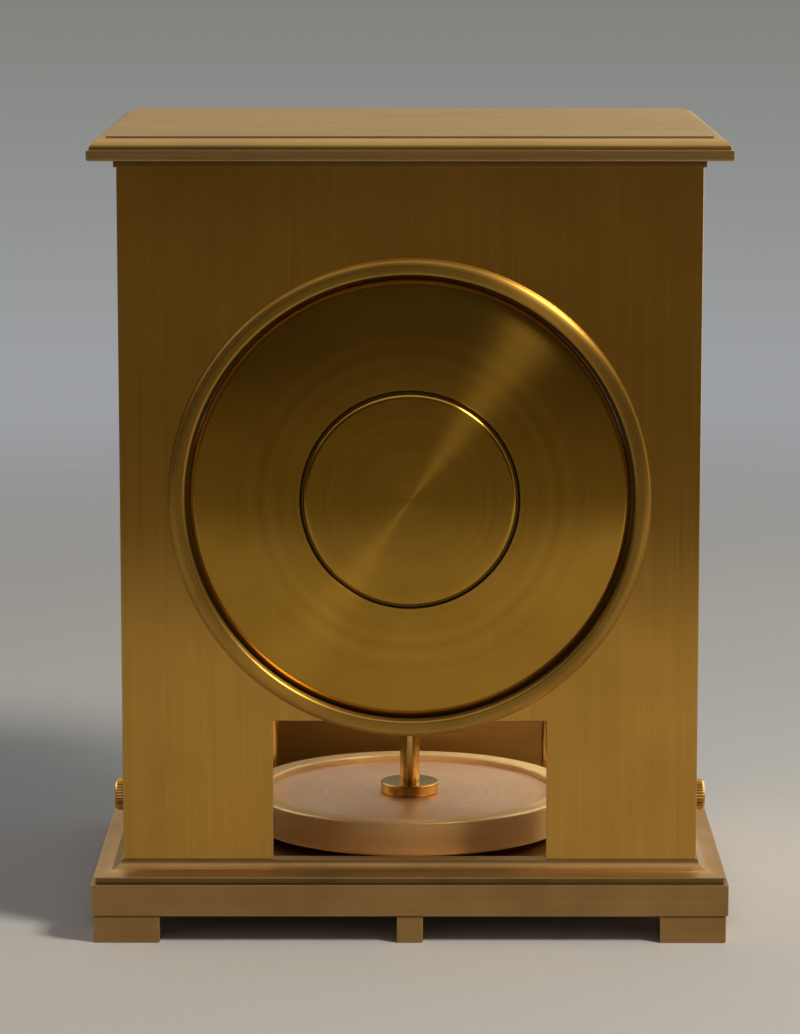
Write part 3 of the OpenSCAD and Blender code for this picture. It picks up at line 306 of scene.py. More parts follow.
# %% Polished and blued steel
polished_steel = worked_metal(
    "polished_steel", "#c4c5c7", "#a3a4a6", (0.12, 0.22), lambda tree: fine_grain(tree, 0.4), 1.5,
    edge_mm=0.15)
blued_steel = worked_metal(
    "blued_spring_steel", "#34486f", "#4b3a5c", (0.18, 0.28), lambda tree: fine_grain(tree, 0.4), 1.5,
    edge_mm=0.1)
print("steels made", polished_steel.name, blued_steel.name)

# %% [markdown]
# ## Enamel, lacquer, ruby and glass
# The chapter ring is fired enamel: slightly warm white, glassy on top, with a faint waviness that shows only
# in reflections. The hands and the printed marks are black lacquer. Bearings are rubies, which are clear and
# red with a high IOR. The panes are plain float glass. A clear coat could imitate the enamel's gloss by a
# second layer, and that is what the Coat sockets do here.

# %% Enamel and black lacquer
fired_enamel, tree = new_material("fired_enamel")
wave = fine_grain(tree, 9)
speckle = fine_grain(tree, 0.8)
cream = add(tree, "ShaderNodeMix", {"Factor": wave, "A": colour("#efe9da"), "B": colour("#e2d9c4")},
            data_type="RGBA").outputs["Result"]
ripple = add(tree, "ShaderNodeBump", {"Strength": 0.5, "Distance": 0.03 * MM, "Height": wave}).outputs[0]
dulled = add(tree, "ShaderNodeMapRange", {"Value": speckle, "To Min": 0.24, "To Max": 0.4}).outputs["Result"]
shader = add(tree, "ShaderNodeBsdfPrincipled", {"Base Color": cream, "Roughness": dulled, "Normal": ripple,
                                                "Coat Weight": 0.6, "Coat Roughness": 0.06})
add(tree, "ShaderNodeOutputMaterial", {"Surface": shader.outputs[0]})

black_lacquer, tree = new_material("black_lacquer")
dust = fine_grain(tree, 0.5)
black = add(tree, "ShaderNodeMix", {"Factor": dust, "A": colour("#15130f"), "B": colour("#2a2620")},
            data_type="RGBA").outputs["Result"]
orange_peel = add(tree, "ShaderNodeBump", {"Strength": 0.3, "Distance": 0.01 * MM, "Height": dust}).outputs[0]
sheen = add(tree, "ShaderNodeMapRange", {"Value": dust, "To Min": 0.2, "To Max": 0.4}).outputs["Result"]
shader = add(tree, "ShaderNodeBsdfPrincipled", {"Base Color": black, "Roughness": sheen, "Coat Weight": 0.5,
                                                "Normal": orange_peel, "Coat Roughness": 0.08})
add(tree, "ShaderNodeOutputMaterial", {"Surface": shader.outputs[0]})
print("enamel and lacquer made")

# %% Ruby and glass
ruby, tree = new_material("pressed_ruby")
silk = fine_grain(tree, 0.4)
red = add(tree, "ShaderNodeMix", {"Factor": silk, "A": colour("#c01a3a"), "B": colour("#8e0f28")},
          data_type="RGBA").outputs["Result"]
polish = add(tree, "ShaderNodeMapRange", {"Value": silk, "To Min": 0.04, "To Max": 0.14}).outputs["Result"]
shader = add(tree, "ShaderNodeBsdfPrincipled", {"Base Color": red, "Roughness": polish, "IOR": 1.76,
                                                "Transmission Weight": 0.45})
add(tree, "ShaderNodeOutputMaterial", {"Surface": shader.outputs[0]})

float_glass, tree = new_material("float_glass")
smear = fine_grain(tree, 25)
film = add(tree, "ShaderNodeMapRange", {"Value": smear, "From Min": 0.45, "From Max": 0.8, "To Min": 0.0,
                                        "To Max": 0.05}).outputs["Result"]
tint = add(tree, "ShaderNodeMix", {"Factor": smear, "A": colour("#fdfffe"), "B": colour("#f8fcfa")},
           data_type="RGBA").outputs["Result"]
pane = add(tree, "ShaderNodeBsdfPrincipled", {"Base Color": tint, "Roughness": film, "IOR": 1.5,
                                              "Transmission Weight": 1.0})
clear = add(tree, "ShaderNodeBsdfTransparent", {"Color": colour("#f3f8f5")})
is_shadow = add(tree, "ShaderNodeLightPath").outputs["Is Shadow Ray"]
lit_through = add(tree, "ShaderNodeMixShader", {0: is_shadow, 1: pane.outputs[0], 2: clear.outputs[0]})
add(tree, "ShaderNodeOutputMaterial", {"Surface": lit_through.outputs[0]})
print("ruby and glass made")

# %% [markdown]
# ## Finishes on the CAD pieces
# Most pieces keep their CAD shape. Each takes the finish of its slot, and then its edges are broken, because
# no real edge is perfectly sharp: a thin bright line along every edge is what makes a machined piece look
# real. A modifier stack does this without touching the mesh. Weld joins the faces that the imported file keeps
# apart, Decimate melts flat triangles into whole faces, Bevel rounds the edges, a small node group drops the
# stored normals, and Weighted Normal keeps the flats flat.

# %% Which piece takes which finish
# The slots come from the record. A few pieces get a finish of their own.
FINISH = {
    "case_brass": case_brass, "brushed_brass": brushed_brass, "spun_brass": spun_brass,
    "turned_brass": turned_brass, "movement_brass": gilt_brass, "balance_copper": pink_alloy,
    "steel": polished_steel, "spring_steel": blued_steel, "dark_hands": black_lacquer,
    "dial_enamel": fired_enamel, "jewel_red": ruby, "pane_glass": float_glass,
}
SPECIAL = {"feet": base_brass, "base_plinth": base_brass, "drum_ring": ring_brass, "balance_rim": rim_brass,
           "left_side_frame": frame_brass, "right_side_frame": frame_brass, "door_frame": frame_brass}
SLOT = {row["node"]: row["material_slot"] for row in frame["record"]["subparts"]}
for node, piece in CAD.items():
    piece.data.materials.clear()
    piece.data.materials.append(SPECIAL.get(node, FINISH[SLOT[node]]))
print("finishes on", len(CAD), "pieces")

# %% Broken edges
SHARP = math.radians(38)
EDGE_MM = {"lid": 0.45, "base_plinth": 0.45, "feet": 0.5, "back_panel": 0.3, "door_frame": 0.4,
           "left_side_frame": 0.4, "right_side_frame": 0.4, "front_rails": 0.3, "base_plate": 0.3,
           "door_glass": 0.3, "side_glasses": 0.3, "front_plate": 0.25, "rear_plate": 0.25,
           "suspension_block": 0.3, "escapement_bridge": 0.25, "roller_bracket": 0.2}
WHEELS = ("centre_wheel", "minute_wheel", "hour_wheel", "escape_wheel", "mainspring_barrel", "cannon_pinion",
          "centre_arbor", "escape_arbor", "pallet_fork", "bushes", "click")
WHEEL_EDGE_MM, PLAIN_EDGE_MM = 0.07, 0.15
own_normals = bpy.data.node_groups.new("own normals", "GeometryNodeTree")
own_normals.interface.new_socket("Mesh", in_out="INPUT", socket_type="NodeSocketGeometry")
own_normals.interface.new_socket("Mesh", in_out="OUTPUT", socket_type="NodeSocketGeometry")
mesh_in = add(own_normals, "NodeGroupInput").outputs[0]
edge_angle = add(own_normals, "GeometryNodeInputMeshEdgeAngle").outputs["Unsigned Angle"]
is_sharp = add(own_normals, "FunctionNodeCompare", {0: edge_angle, 1: SHARP},
               operation="GREATER_THAN").outputs["Result"]
smoothed = add(own_normals, "GeometryNodeSetShadeSmooth", {0: mesh_in, "Shade Smooth": True}).outputs[0]
cleaned = add(own_normals, "GeometryNodeSetMeshNormal", {"Mesh": smoothed, "Remove Custom": True,
                                                         "Edge Sharpness": is_sharp}).outputs[0]
add(own_normals, "NodeGroupOutput", {0: cleaned})


def flat_shading(piece):
    piece.modifiers.new("flats stay flat", "WEIGHTED_NORMAL").keep_sharp = True


for node, piece in CAD.items():
    width = EDGE_MM.get(node, WHEEL_EDGE_MM if node in WHEELS else PLAIN_EDGE_MM)
    piece.modifiers.new("weld", "WELD").merge_threshold = 0.001 * MM
    flats = piece.modifiers.new("whole flats", "DECIMATE")
    flats.decimate_type, flats.angle_limit = "DISSOLVE", math.radians(0.4)
    edges = piece.modifiers.new("broken edges", "BEVEL")
    edges.width, edges.segments, edges.limit_method = width * MM, 2, "ANGLE"
    edges.angle_limit = SHARP
    piece.modifiers.new("own normals", "NODES").node_group = own_normals
    flat_shading(piece)
print("edges broken, widest", max(EDGE_MM.values()), "mm")

# %% [markdown]
# ## Turned pieces
# Anything round that the eye can come close to is made again as a lathe would make it: an outline in
# millimetres is spun round an axis in 256 steps, so that no facet shows. The outline's corners are rounded
# first. A knurl, the grip on a knob, is a small wave in the radius. The screw modifier could spin an outline
# too, but it can't make a knurl.


# %% A lathe in code
def softened(outline, radius_mm=0.25, steps=3):
    result = []
    for i, point in enumerate(outline):
        corner, before = Vector(point), Vector(outline[i - 1])
        after = Vector(outline[(i + 1) % len(outline)])
        straight = (before - corner).angle(after - corner) > math.radians(150)
        if corner.x < 0.001 or straight:
            result.append(tuple(corner))
            continue
        reach = min(radius_mm, (before - corner).length / 2.1, (after - corner).length / 2.1)
        start = corner + (before - corner).normalized() * reach
        end = corner + (after - corner).normalized() * reach
        for k in range(steps + 1):
            t = k / steps
            result.append(tuple(start.lerp(corner, t).lerp(corner.lerp(end, t), t)))
    return result


def turn_on_lathe(bm, outline, axis="Z", centre=(0, 0, 0), steps=256, knurl=None):
    rings = []
    on_axis = {}
    for k in range(steps):
        angle = 2 * math.pi * k / steps
        ring = []
        for i, (radius, along) in enumerate(outline):
            if knurl and radius > knurl[0]:
                radius -= knurl[2] * abs(math.sin(knurl[1] * angle / 2))
            if i not in on_axis:
                a, b = radius * math.cos(angle), radius * math.sin(angle)
                point = {"X": (along, a, b), "Y": (a, along, b), "Z": (a, b, along)}[axis]
                vertex = bm.verts.new((Vector(centre) + Vector(point)) * MM)
                if radius < 0.001:
                    on_axis[i] = vertex
            ring.append(on_axis.get(i) or vertex)
        rings.append(ring)
    for k in range(steps):
        one, two = rings[k], rings[(k + 1) % steps]
        for i in range(len(outline)):
            j = (i + 1) % len(outline)
            corners = list(dict.fromkeys((one[i], one[j], two[j], two[i])))
            if len(corners) > 2:
                bm.faces.new(corners)


BODY = {node: body for body, nodes in frame["record"]["behaviour"]["bodies"].items() for node in nodes}


def make_piece(name, bm, finish, node, part_of=None, stretches=None):
    bmesh.ops.recalc_face_normals(bm, faces=bm.faces)
    mesh = bpy.data.meshes.new(name)
    bm.to_mesh(mesh)
    bm.free()
    mesh.polygons.foreach_set("use_smooth", [True] * len(mesh.polygons))
    mesh.set_sharp_from_angle(angle=SHARP)
    mesh.materials.append(finish)
    piece = bpy.data.objects.new(name, mesh)
    bpy.context.scene.collection.objects.link(piece)
    flat_shading(piece)
    if stretches:
        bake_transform(piece)
    else:
        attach(piece, BODY[node])
    if part_of is None:
        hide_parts(node)
    return piece


def arc(centre, reach, from_deg, to_deg, steps):
    angles = [math.radians(from_deg + (to_deg - from_deg) * k / steps) for k in range(steps + 1)]
    return [(centre[0] + reach[0] * math.cos(a), centre[1] + reach[1] * math.sin(a)) for a in angles]


print("lathe ready;", len(BODY), "pieces know their body")

# %% [markdown]
# ## The drum, its cover and the ring
# The cover is the large round face of the photograph: a slightly domed disc in the middle, a small step and a
# wide band that falls away by two millimetres to a rounded edge. It was pressed and spun from one sheet. The
# fall tips the band's top towards the dark room and its foot towards the table, and that is why it is dark
# above and light below. A narrow gap parts it from the ring. The gap is real depth, so it darkens by itself.

# %% Drum pieces
BACK = 67
face = [(29.6 * k / 12, 3 - 0.6 * (k / 12) ** 2) for k in range(13)] + arc((29.6, 1), (1.4, 1.4), 75, 0, 6)
face += [(31.3, 1)] + [(32 + 29.6 * t, 1.9 - 1.05 * t - 1.3 * t * t) for t in (k / 24 for k in range(25))]
face += arc((61.6, -2.25), (2.4, 1.8), 75, 0, 12)
skin = [(min(r, 60.9), y - 1.6) for r, y in reversed(face[:-1])]
outline = [(r, BACK + y) for r, y in face] + [(64, 64.4), (62.5, 64.4), (62.5, 62), (60.9, 62)]
outline += [(r, BACK + y) for r, y in skin]
bm = bmesh.new()
turn_on_lathe(bm, outline, "Y", (0, 0, DRUM_Z))
cover = make_piece("spun_drum_cover", bm, spun_brass, "bellows_cover")

bm = bmesh.new()
ring = [(64.05, 62), (66.95, 62), (66.95, 67), (70, 67)] + arc((67.2, 67.2), (2.8, 2), 0, 90, 14)
ring += arc((66.1, 68.3), (0.9, 0.9), 90, 180, 8) + [(65.2, 63), (64.05, 63)]
turn_on_lathe(bm, ring, "Y", (0, 0, DRUM_Z))
make_piece("turned_ring", bm, ring_brass, "drum_ring")

bm = bmesh.new()
drum = softened([(6, 12), (64, 12), (64, 64.4), (62.5, 64.4), (62.5, 14), (6, 14)], 0.6)
turn_on_lathe(bm, drum, "Y", (0, 0, DRUM_Z))
make_piece("drum_shell", bm, FINISH["turned_brass"], "bellows_drum")
print("cover reaches", round(max(y for r, y in outline), 1), "mm behind the middle")

# %% [markdown]
# ## The balance
# The balance is a heavy disc that swings slowly on a wire. Its rim is turned brass, and a thin disc of a
# pinker alloy fills the rim. From above it shows fine rings from the lathe. The hub holds the tube.

# %% Balance pieces
bm = bmesh.new()
rim = [(44, 19.5), (50, 19.5), (50, 30), (44, 30)]
turn_on_lathe(bm, softened(rim, 1.1, 5), "Z")
make_piece("balance_rim_turned", bm, rim_brass, "balance_rim")
bm = bmesh.new()
turn_on_lathe(bm, softened([(5, 26.4), (43.98, 26.4), (43.98, 28), (5, 28)], 0.2), "Z")
make_piece("balance_disc", bm, pink_alloy, "balance_plate")
bm = bmesh.new()
hub = [(0.3, 23.7), (5, 23.7), (5, 28), (9, 28), (9, 31.5), (3.2, 31.5), (3.2, 31.0), (0.3, 31.0)]
turn_on_lathe(bm, softened(hub, 0.7, 4), "Z", steps=128)
make_piece("balance_hub_turned", bm, turned_brass, "balance_hub")
print("balance made, 100 mm across")

# %% [markdown]
# ## Knobs and levelling feet
# The two side thumbscrews, the door knob and the wheels of the levelling feet are knurled so that fingers
# grip them. The screws' tops have a shallow turned step.

# %% Knurled pieces
for side, node in ((1, "right_thumbscrew"), (-1, "left_thumbscrew")):
    bm = bmesh.new()
    screw = [(0, 77), (2, 77), (2, 84.3), (3.9, 84.3), (4.8, 85), (4.8, 87.8), (4.1, 88.6), (2.6, 88.6),
             (2.2, 88.2), (0, 88.2)]
    turn_on_lathe(bm, softened([(r, side * x) for r, x in screw], 0.2, 2), "X", (0, 34, 35), 288,
                  knurl=(4.7, 36, 0.22))
    make_piece(node + "_knurled", bm, turned_brass, node)
for side, node in ((1, "right_levelling_foot"), (-1, "left_levelling_foot")):
    bm = bmesh.new()
    foot = [(0, 0.5), (4, 0.5), (4.5, 2.9), (6.5, 3.1), (6.5, 6.1), (5.9, 6.5), (2, 6.5), (2, 15.5),
            (0, 15.5)]
    turn_on_lathe(bm, softened(foot, 0.25, 2), "Z", (side * 60, -68, 0), 288, knurl=(6.4, 48, 0.25))
    make_piece(node + "_knurled", bm, turned_brass, node)
bm = bmesh.new()
knob = [(0, -72.5), (2.6, -72.2), (4, -70.8), (4, -69.3), (3.3, -68.8), (2, -68.3), (2, -67), (0, -67)]
turn_on_lathe(bm, softened(knob, 0.3), "Y", (79.5, 0, 124.5), 288, knurl=(3.9, 32, 0.15))
make_piece("door_knob_knurled", bm, turned_brass, "door_knob")
print("knurled pieces made")

# %% [markdown]
# ## Dial, hour markers and hands
# The chapter ring is a white ring with printed minute dots and twelve applied brass batons. A baton has a
# ridge along its middle, and so does each hand: two sloping faces catch the light in turn, which is how hands
# stay readable. They are built from an outline whose middle line is raised.


# %% Ridged pieces
def ridged_bar(bm, angle_deg, stations, back, front, ridge):
    turned_to = math.radians(angle_deg)
    along = Vector((math.sin(turned_to), 0, math.cos(turned_to)))
    across = Vector((math.cos(turned_to), 0, -math.sin(turned_to)))
    middle = Vector((0, 0, DRUM_Z))
    rows = []
    for reach, half in stations:
        at = middle + along * reach
        spots = [(across * -half, back), (across * -half, front), (Vector(), ridge if half else front),
                 (across * half, front), (across * half, back)]
        rows.append([bm.verts.new((at + shift + Vector((0, y, 0))) * MM) for shift, y in spots])
    for one, two in zip(rows, rows[1:]):
        for k in range(5):
            j = (k + 1) % 5
            bm.faces.new((one[k], one[j], two[j], two[k]))
    bm.faces.new(rows[0])
    bm.faces.new(reversed(rows[-1]))


bm = bmesh.new()
for hour in range(12):
    ridged_bar(bm, 30 * hour, [(43, 0.75), (43.4, 1), (51.1, 1), (51.5, 0.75)], -56.5, -56.75, -57)
make_piece("applied_batons", bm, turned_brass, "hour_markers")

bm = bmesh.new()
turn_on_lathe(bm, softened([(40, -56.5), (54, -56.5), (54, -55), (40, -55)], 0.3), "Y", (0, 0, DRUM_Z))
for k in range(4):
    foot_at = math.radians(45 + 90 * k)
    turn_on_lathe(bm, [(0, -55.1), (1.6, -55.1), (1.6, -50), (0, -50)], "Y",
                  (47 * math.cos(foot_at), 0, DRUM_Z + 47 * math.sin(foot_at)), 32)
dial = make_piece("enamel_chapter_ring", bm, fired_enamel, "chapter_ring")

bm = bmesh.new()
for minute in range(60):
    spot = math.radians(6 * minute)
    size = 0.22 if minute % 5 else 0.42
    turn_on_lathe(bm, [(0, -56.53), (size, -56.53), (size, -56.49), (0, -56.49)], "Y",
                  (52.7 * math.sin(spot), 0, DRUM_Z + 52.7 * math.cos(spot)), 16)
dots = make_piece("printed_minute_dots", bm, black_lacquer, "chapter_ring", part_of=dial)
print("dial made with", len(dots.data.vertices), "vertices in its dots")

# %% Hands and the nut that holds them
for node, angle, length, half, boss, hole, back, front in (
        ("hour_hand", -60, 33, 1.7, 4.4, 3.1, -57.3, -57.8),
        ("minute_hand", 60, 47, 1.3, 3.6, 2.2, -59.5, -60.0)):
    bm = bmesh.new()
    start = 0.97 * boss
    for stations, way in (([(start, half * 0.75), (length * 0.7, half), (length, 0.02)], angle),
                          ([(start, half * 0.75), (length * 0.2, half * 0.9), (length * 0.2 + 0.3, 0.5)],
                           angle + 180)):
        ridged_bar(bm, way, stations, back, front, front - 0.4)
    collar = [(hole, back), (boss, back), (boss, front), (hole, front - 0.25)]
    turn_on_lathe(bm, softened(collar, 0.15), "Y", (0, 0, DRUM_Z), 96)
    make_piece(node + "_ridged", bm, black_lacquer, node)
bm = bmesh.new()
nut = [(1.5, -61.4), (2.3, -61.4), (2.8, -61.0), (2.8, -60.4), (1.5, -60.4)]
turn_on_lathe(bm, softened(nut, 0.15), "Y", (0, 0, DRUM_Z), 128, knurl=(2.75, 24, 0.12))
make_piece("hand_nut_knurled", bm, turned_brass, "hand_nut")
print("hands set at ten past ten")

# %% [markdown]
# ## Slotted screws
# Six screws hold each movement plate. Their heads are polished steel with a slot for the screwdriver, each
# turned to its own angle, as hand-driven screws are. A slot could be cut with a Boolean, but two raised
# halves on a thin disc give the same shape with cleaner faces.

# %% Plate screws
SCREW_SPOTS = [(sx * 45.915, z) for sx in (-1, 1) for z in (100, 140)]
SCREW_SPOTS += [(sx * 43.915, 178) for sx in (-1, 1)]
HEAD_R, SHANK_R, SLOT_HALF, ROUND_STEPS = 2.6, 1.5, 0.42, 16
bm = bmesh.new()
for k, (x, z) in enumerate(SCREW_SPOTS):
    for seat, out in ((-50, -1), (-22.5, 1)):
        base = [(0, seat - out * 6.5), (SHANK_R, seat - out * 6.5), (SHANK_R, seat), (HEAD_R, seat),
                (HEAD_R, seat + out * 0.8), (0, seat + out * 0.8)]
        turn_on_lathe(bm, base, "Y", (x, 0, z), 64)
        way = 0.6 + 1.7 * k + out
        for half in (0, math.pi):
            rim_points = []
            for step in range(ROUND_STEPS + 1):
                a = math.radians(-81 + 162 * step / ROUND_STEPS)
                rim_points.append((HEAD_R * math.cos(a), HEAD_R * math.sin(a)))
            levels = []
            for inset, height in ((0, 0.7), (0, 1.2), (0.2, 1.4)):
                row = []
                for px, pz in rim_points:
                    kept = 1 - inset / HEAD_R
                    px, pz = max(px, SLOT_HALF) * kept + inset * 0.15, pz * kept
                    c, s = math.cos(way + half), math.sin(way + half)
                    row.append(bm.verts.new(Vector((x + px * c - pz * s, seat + out * height,
                                                    z + px * s + pz * c)) * MM))
                levels.append(row)
            for low, high in zip(levels, levels[1:]):
                for i in range(ROUND_STEPS + 1):
                    j = (i + 1) % (ROUND_STEPS + 1)
                    bm.faces.new((low[i], low[j], high[j], high[i]))
            bm.faces.new(levels[0])
            bm.faces.new(levels[-1])
make_piece("slotted_screws", bm, polished_steel, "plate_screws")
print("screws made:", 2 * len(SCREW_SPOTS))

# %% [markdown]
# ## Springs, bellows and chain
# Inside the drum a corrugated capsule breathes against a coil spring, and a fine bead chain carries the pull
# to the winding pulley. The barrel and the pulley hold coiled strips. All are made at full smoothness from
# their formulas. The capsule and the coil spring stretch when the push plate moves; here both are made at rest
# and are not attached to a body.


# %% A tube and a strip along a path
def tube_along(bm, points, radius, sides=12):
    rows = []
    for i, point in enumerate(points):
        way = (points[min(i + 1, len(points) - 1)] - points[max(i - 1, 0)]).normalized()
        out = Vector((point.x, 0, point.z - DRUM_Z)).normalized()
        side = out.cross(way).normalized()
        out = way.cross(side)
        rows.append([bm.verts.new((point + radius * (math.cos(a) * out + math.sin(a) * side)) * MM)
                     for a in (2 * math.pi * k / sides for k in range(sides))])
    for one, two in zip(rows, rows[1:]):
        for k in range(sides):
            j = (k + 1) % sides
            bm.faces.new((one[k], one[j], two[j], two[k]))
    bm.faces.new(rows[0])
    bm.faces.new(reversed(rows[-1]))


def coiled_strip(bm, centre, radii, turns, thick, along, steps=72):
    rows = []
    for i in range(turns * steps + 1):
        a = 2 * math.pi * i / steps
        r = radii[0] + (radii[1] - radii[0]) * i / (turns * steps)
        c, s = math.cos(a), math.sin(a)
        corners = ((r, along[0]), (r + thick, along[0]), (r + thick, along[1]), (r, along[1]))
        rows.append([bm.verts.new(Vector((centre[0] + out * c, y, centre[1] + out * s)) * MM)
                     for out, y in corners])
    for one, two in zip(rows, rows[1:]):
        for k in range(4):
            bm.faces.new((one[k], one[(k + 1) % 4], two[(k + 1) % 4], two[k]))
    bm.faces.new(rows[0])
    bm.faces.new(reversed(rows[-1]))


print("tube and strip ready")

# %% Capsule, coil spring and strips
bm = bmesh.new()
folds = [(51 + 4 * math.cos(2 * math.pi * k / 16), 39.6 + 0.3 * k) for k in range(81)]
shell = [(0, 38.6), (55, 38.6)] + folds + [(55, 64.6)]
turn_on_lathe(bm, shell + [(53.5, 64.6)] + [(r - 1.4, y) for r, y in reversed(folds)] + [(0, 39.6)], "Y",
              (0, 0, DRUM_Z), 192)
make_piece("corrugated_capsule", bm, spun_brass, "bellows_capsule", stretches=(63.6, 39.6))

bm = bmesh.new()
coil = [Vector((20 * math.cos(a), 16.2 + 17.9 * a / (10 * math.pi), DRUM_Z + 20 * math.sin(a)))
        for a in (2 * math.pi * k / 48 for k in range(241))]
for end, inward, foot_y in ((0, 1, 14), (-1, -1, 36.3)):
    foot = Vector((coil[end].x, foot_y, coil[end].z))
    knee, on = coil[end].copy(), coil[end + inward * 1].copy()
    bend = [foot.lerp(knee, t / 6).lerp(knee.lerp(on, t / 6), t / 6) for t in range(7)]
    coil = bend[:-1] + coil[1:] if inward == 1 else coil[:-1] + bend[-2::-1]
tube_along(bm, coil, 1.1)
make_piece("coil_spring", bm, blued_steel, "bellows_spring", stretches=(16.2, 34.1))

BARREL = (7, 156.08)
for node, radii, turns, thick in (("mainspring", (4.3, 19.1), 6, 0.6), ("return_spring", (2.3, 7), 4, 0.4)):
    low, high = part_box(node)
    bm = bmesh.new()
    coiled_strip(bm, BARREL, radii, turns, thick, (low[1] / MM, high[1] / MM))
    make_piece(node + "_coiled", bm, blued_steel, node)
print("capsule with 5 folds, spring with 5 curls, two coiled strips")


# %% Bead chain
ROLLER_R, ROLLER_Y, ROLLER_Z, PULLEY_R, CHAIN_START_Y = 4, -14, 134, 7, 33.8


def chain_place(run):
    flat, bend, rise = CHAIN_START_Y - ROLLER_Y, ROLLER_R * math.pi / 2, BARREL[1] - ROLLER_Z
    if run < flat:
        return Vector((0, CHAIN_START_Y - run, DRUM_Z))
    if run < flat + bend:
        a = (run - flat) / ROLLER_R
        return Vector((0, ROLLER_Y - ROLLER_R * math.sin(a), ROLLER_Z - ROLLER_R * math.cos(a)))
    if run < flat + bend + rise:
        return Vector((0, ROLLER_Y - ROLLER_R, ROLLER_Z + run - flat - bend))
    a = (run - flat - bend - rise) / PULLEY_R
    return Vector((BARREL[0] - PULLEY_R * math.cos(a), ROLLER_Y - ROLLER_R,
                   BARREL[1] + PULLEY_R * math.sin(a)))


BEADS, PITCH = 37, 2.6
one = bmesh.new()
ball = arc((0, 0), (0.7, 0.7), -84, 84, 14)
turn_on_lathe(one, [(0, -0.7)] + [(abs(r) + (0.03 if abs(z) < 0.1 else 0), z) for r, z in ball] +
              [(0.34, 0.72), (0.26, 0.8), (0.26, 1.9), (0, 1.9)], steps=24)
bead_mesh = bpy.data.meshes.new("bead")
one.to_mesh(bead_mesh)
one.free()
bm = bmesh.new()
for k in range(BEADS):
    at, ahead = chain_place(k * PITCH), chain_place((k + 1) * PITCH)
    lean = (ahead - at).to_track_quat("Z", "Y").to_matrix().to_4x4()
    before = len(bm.verts)
    bm.from_mesh(bead_mesh)
    bm.verts.ensure_lookup_table()
    bmesh.ops.transform(bm, matrix=Matrix.Translation(at * MM) @ lean, verts=bm.verts[before:])
make_piece("bead_chain", bm, polished_steel, "chain")
print("chain with", BEADS, "beads")

# %% [markdown]
# ## The floor
# A pale matt table. Close to the clock it is a real surface that takes the shadow, and further out it thins
# out to nothing, so no horizon line crosses the picture. On the camera's side it ends sooner. The brass
# mirrors that edge: below it the panel and the drum show the bright table, above it the dark room. A curved
# paper sweep would do the same in a studio.

# %% A table that fades out
TABLE_R_M, FADES_M, NEAR_EDGE_M = 1.3, (0.5, 1.15), (0.48, 0.81)
table_finish, tree = new_material("matt_table")
paper = fine_grain(tree, 3)
pale = add(tree, "ShaderNodeMix", {"Factor": paper, "A": colour("#cbcac8"), "B": colour("#c3c2c0")},
           data_type="RGBA").outputs["Result"]
matt = add(tree, "ShaderNodeBsdfPrincipled", {"Base Color": pale, "Roughness": 0.75,
                                              "Specular IOR Level": 0.25})
place = add(tree, "ShaderNodeTexCoord").outputs["Object"]
reach = add(tree, "ShaderNodeVectorMath", {0: place}, operation="LENGTH").outputs["Value"]
far = add(tree, "ShaderNodeMapRange", {"Value": reach, "From Min": FADES_M[0], "From Max": FADES_M[1]},
          interpolation_type="SMOOTHSTEP").outputs["Result"]
forward = add(tree, "ShaderNodeSeparateXYZ", {0: place}).outputs["Y"]
near_end = add(tree, "ShaderNodeMapRange", {"Value": forward, "From Min": NEAR_EDGE_M[0],
                                            "From Max": NEAR_EDGE_M[1]},
               interpolation_type="SMOOTHSTEP").outputs["Result"]
gone = add(tree, "ShaderNodeMath", {0: far, 1: near_end}, operation="MAXIMUM").outputs[0]
nothing = add(tree, "ShaderNodeBsdfTransparent")
faded = add(tree, "ShaderNodeMixShader", {0: gone, 1: matt.outputs[0], 2: nothing.outputs[0]})
add(tree, "ShaderNodeOutputMaterial", {"Surface": faded.outputs[0]})
bm = bmesh.new()
bmesh.ops.create_circle(bm, cap_ends=True, segments=96, radius=TABLE_R_M)
table_mesh = bpy.data.meshes.new("table")
bm.to_mesh(table_mesh)
bm.free()
table_mesh.materials.append(table_finish)
table = bpy.data.objects.new("table", table_mesh)
bpy.context.scene.collection.objects.link(table)
print("table", round(table.dimensions.x, 1), "m across")

# %% [markdown]
# ## The room
# The camera sees a pale grey backdrop. Metal shows whatever surrounds it, so the room matters as much as the
# lamps: behind the clock lies a pale wall, brighter towards the lamp's side, and to the left and right of
# it daylight comes in, which reaches the balance through the glass. Behind the camera is a dim room under a
# pale ceiling, and that makes the upper half of the brass dark. The world's colour and strength follow the
# direction of the ray. Only what metal mirrors sees this room. Matt surfaces get an even, dimmer fill, so
# that the table keeps the clock's shadow.

# %% Backdrop and room
world = bpy.data.worlds.new("room")
bpy.context.scene.world = world
world.use_nodes = True
tree = world.node_tree
tree.nodes.clear()
way = add(tree, "ShaderNodeSeparateXYZ", {0: add(tree, "ShaderNodeTexCoord").outputs["Generated"]}).outputs
rise = add(tree, "ShaderNodeMapRange", {"Value": way["Z"], "From Min": -0.12, "From Max": -0.03}).outputs[0]
backdrop = add(tree, "ShaderNodeMix", {"Factor": rise, "A": colour("#9c9ea1"), "B": colour("#82837e")},
               data_type="RGBA").outputs["Result"]
to_camera = add(tree, "ShaderNodeMapRange", {"Value": way["Y"], "From Min": -0.15, "From Max": 0.6},
                interpolation_type="SMOOTHSTEP").outputs[0]
horizon = add(tree, "ShaderNodeMapRange", {"Value": way["Z"], "From Min": -0.09, "From Max": 0.03},
              interpolation_type="SMOOTHSTEP").outputs[0]
overhead = add(tree, "ShaderNodeMapRange", {"Value": way["Z"], "From Min": 0.55, "From Max": 0.85},
               interpolation_type="SMOOTHSTEP").outputs[0]
wall = add(tree, "ShaderNodeMix", {"Factor": horizon, "A": colour("#6b634f"), "B": colour("#352e26")},
           data_type="RGBA").outputs["Result"]
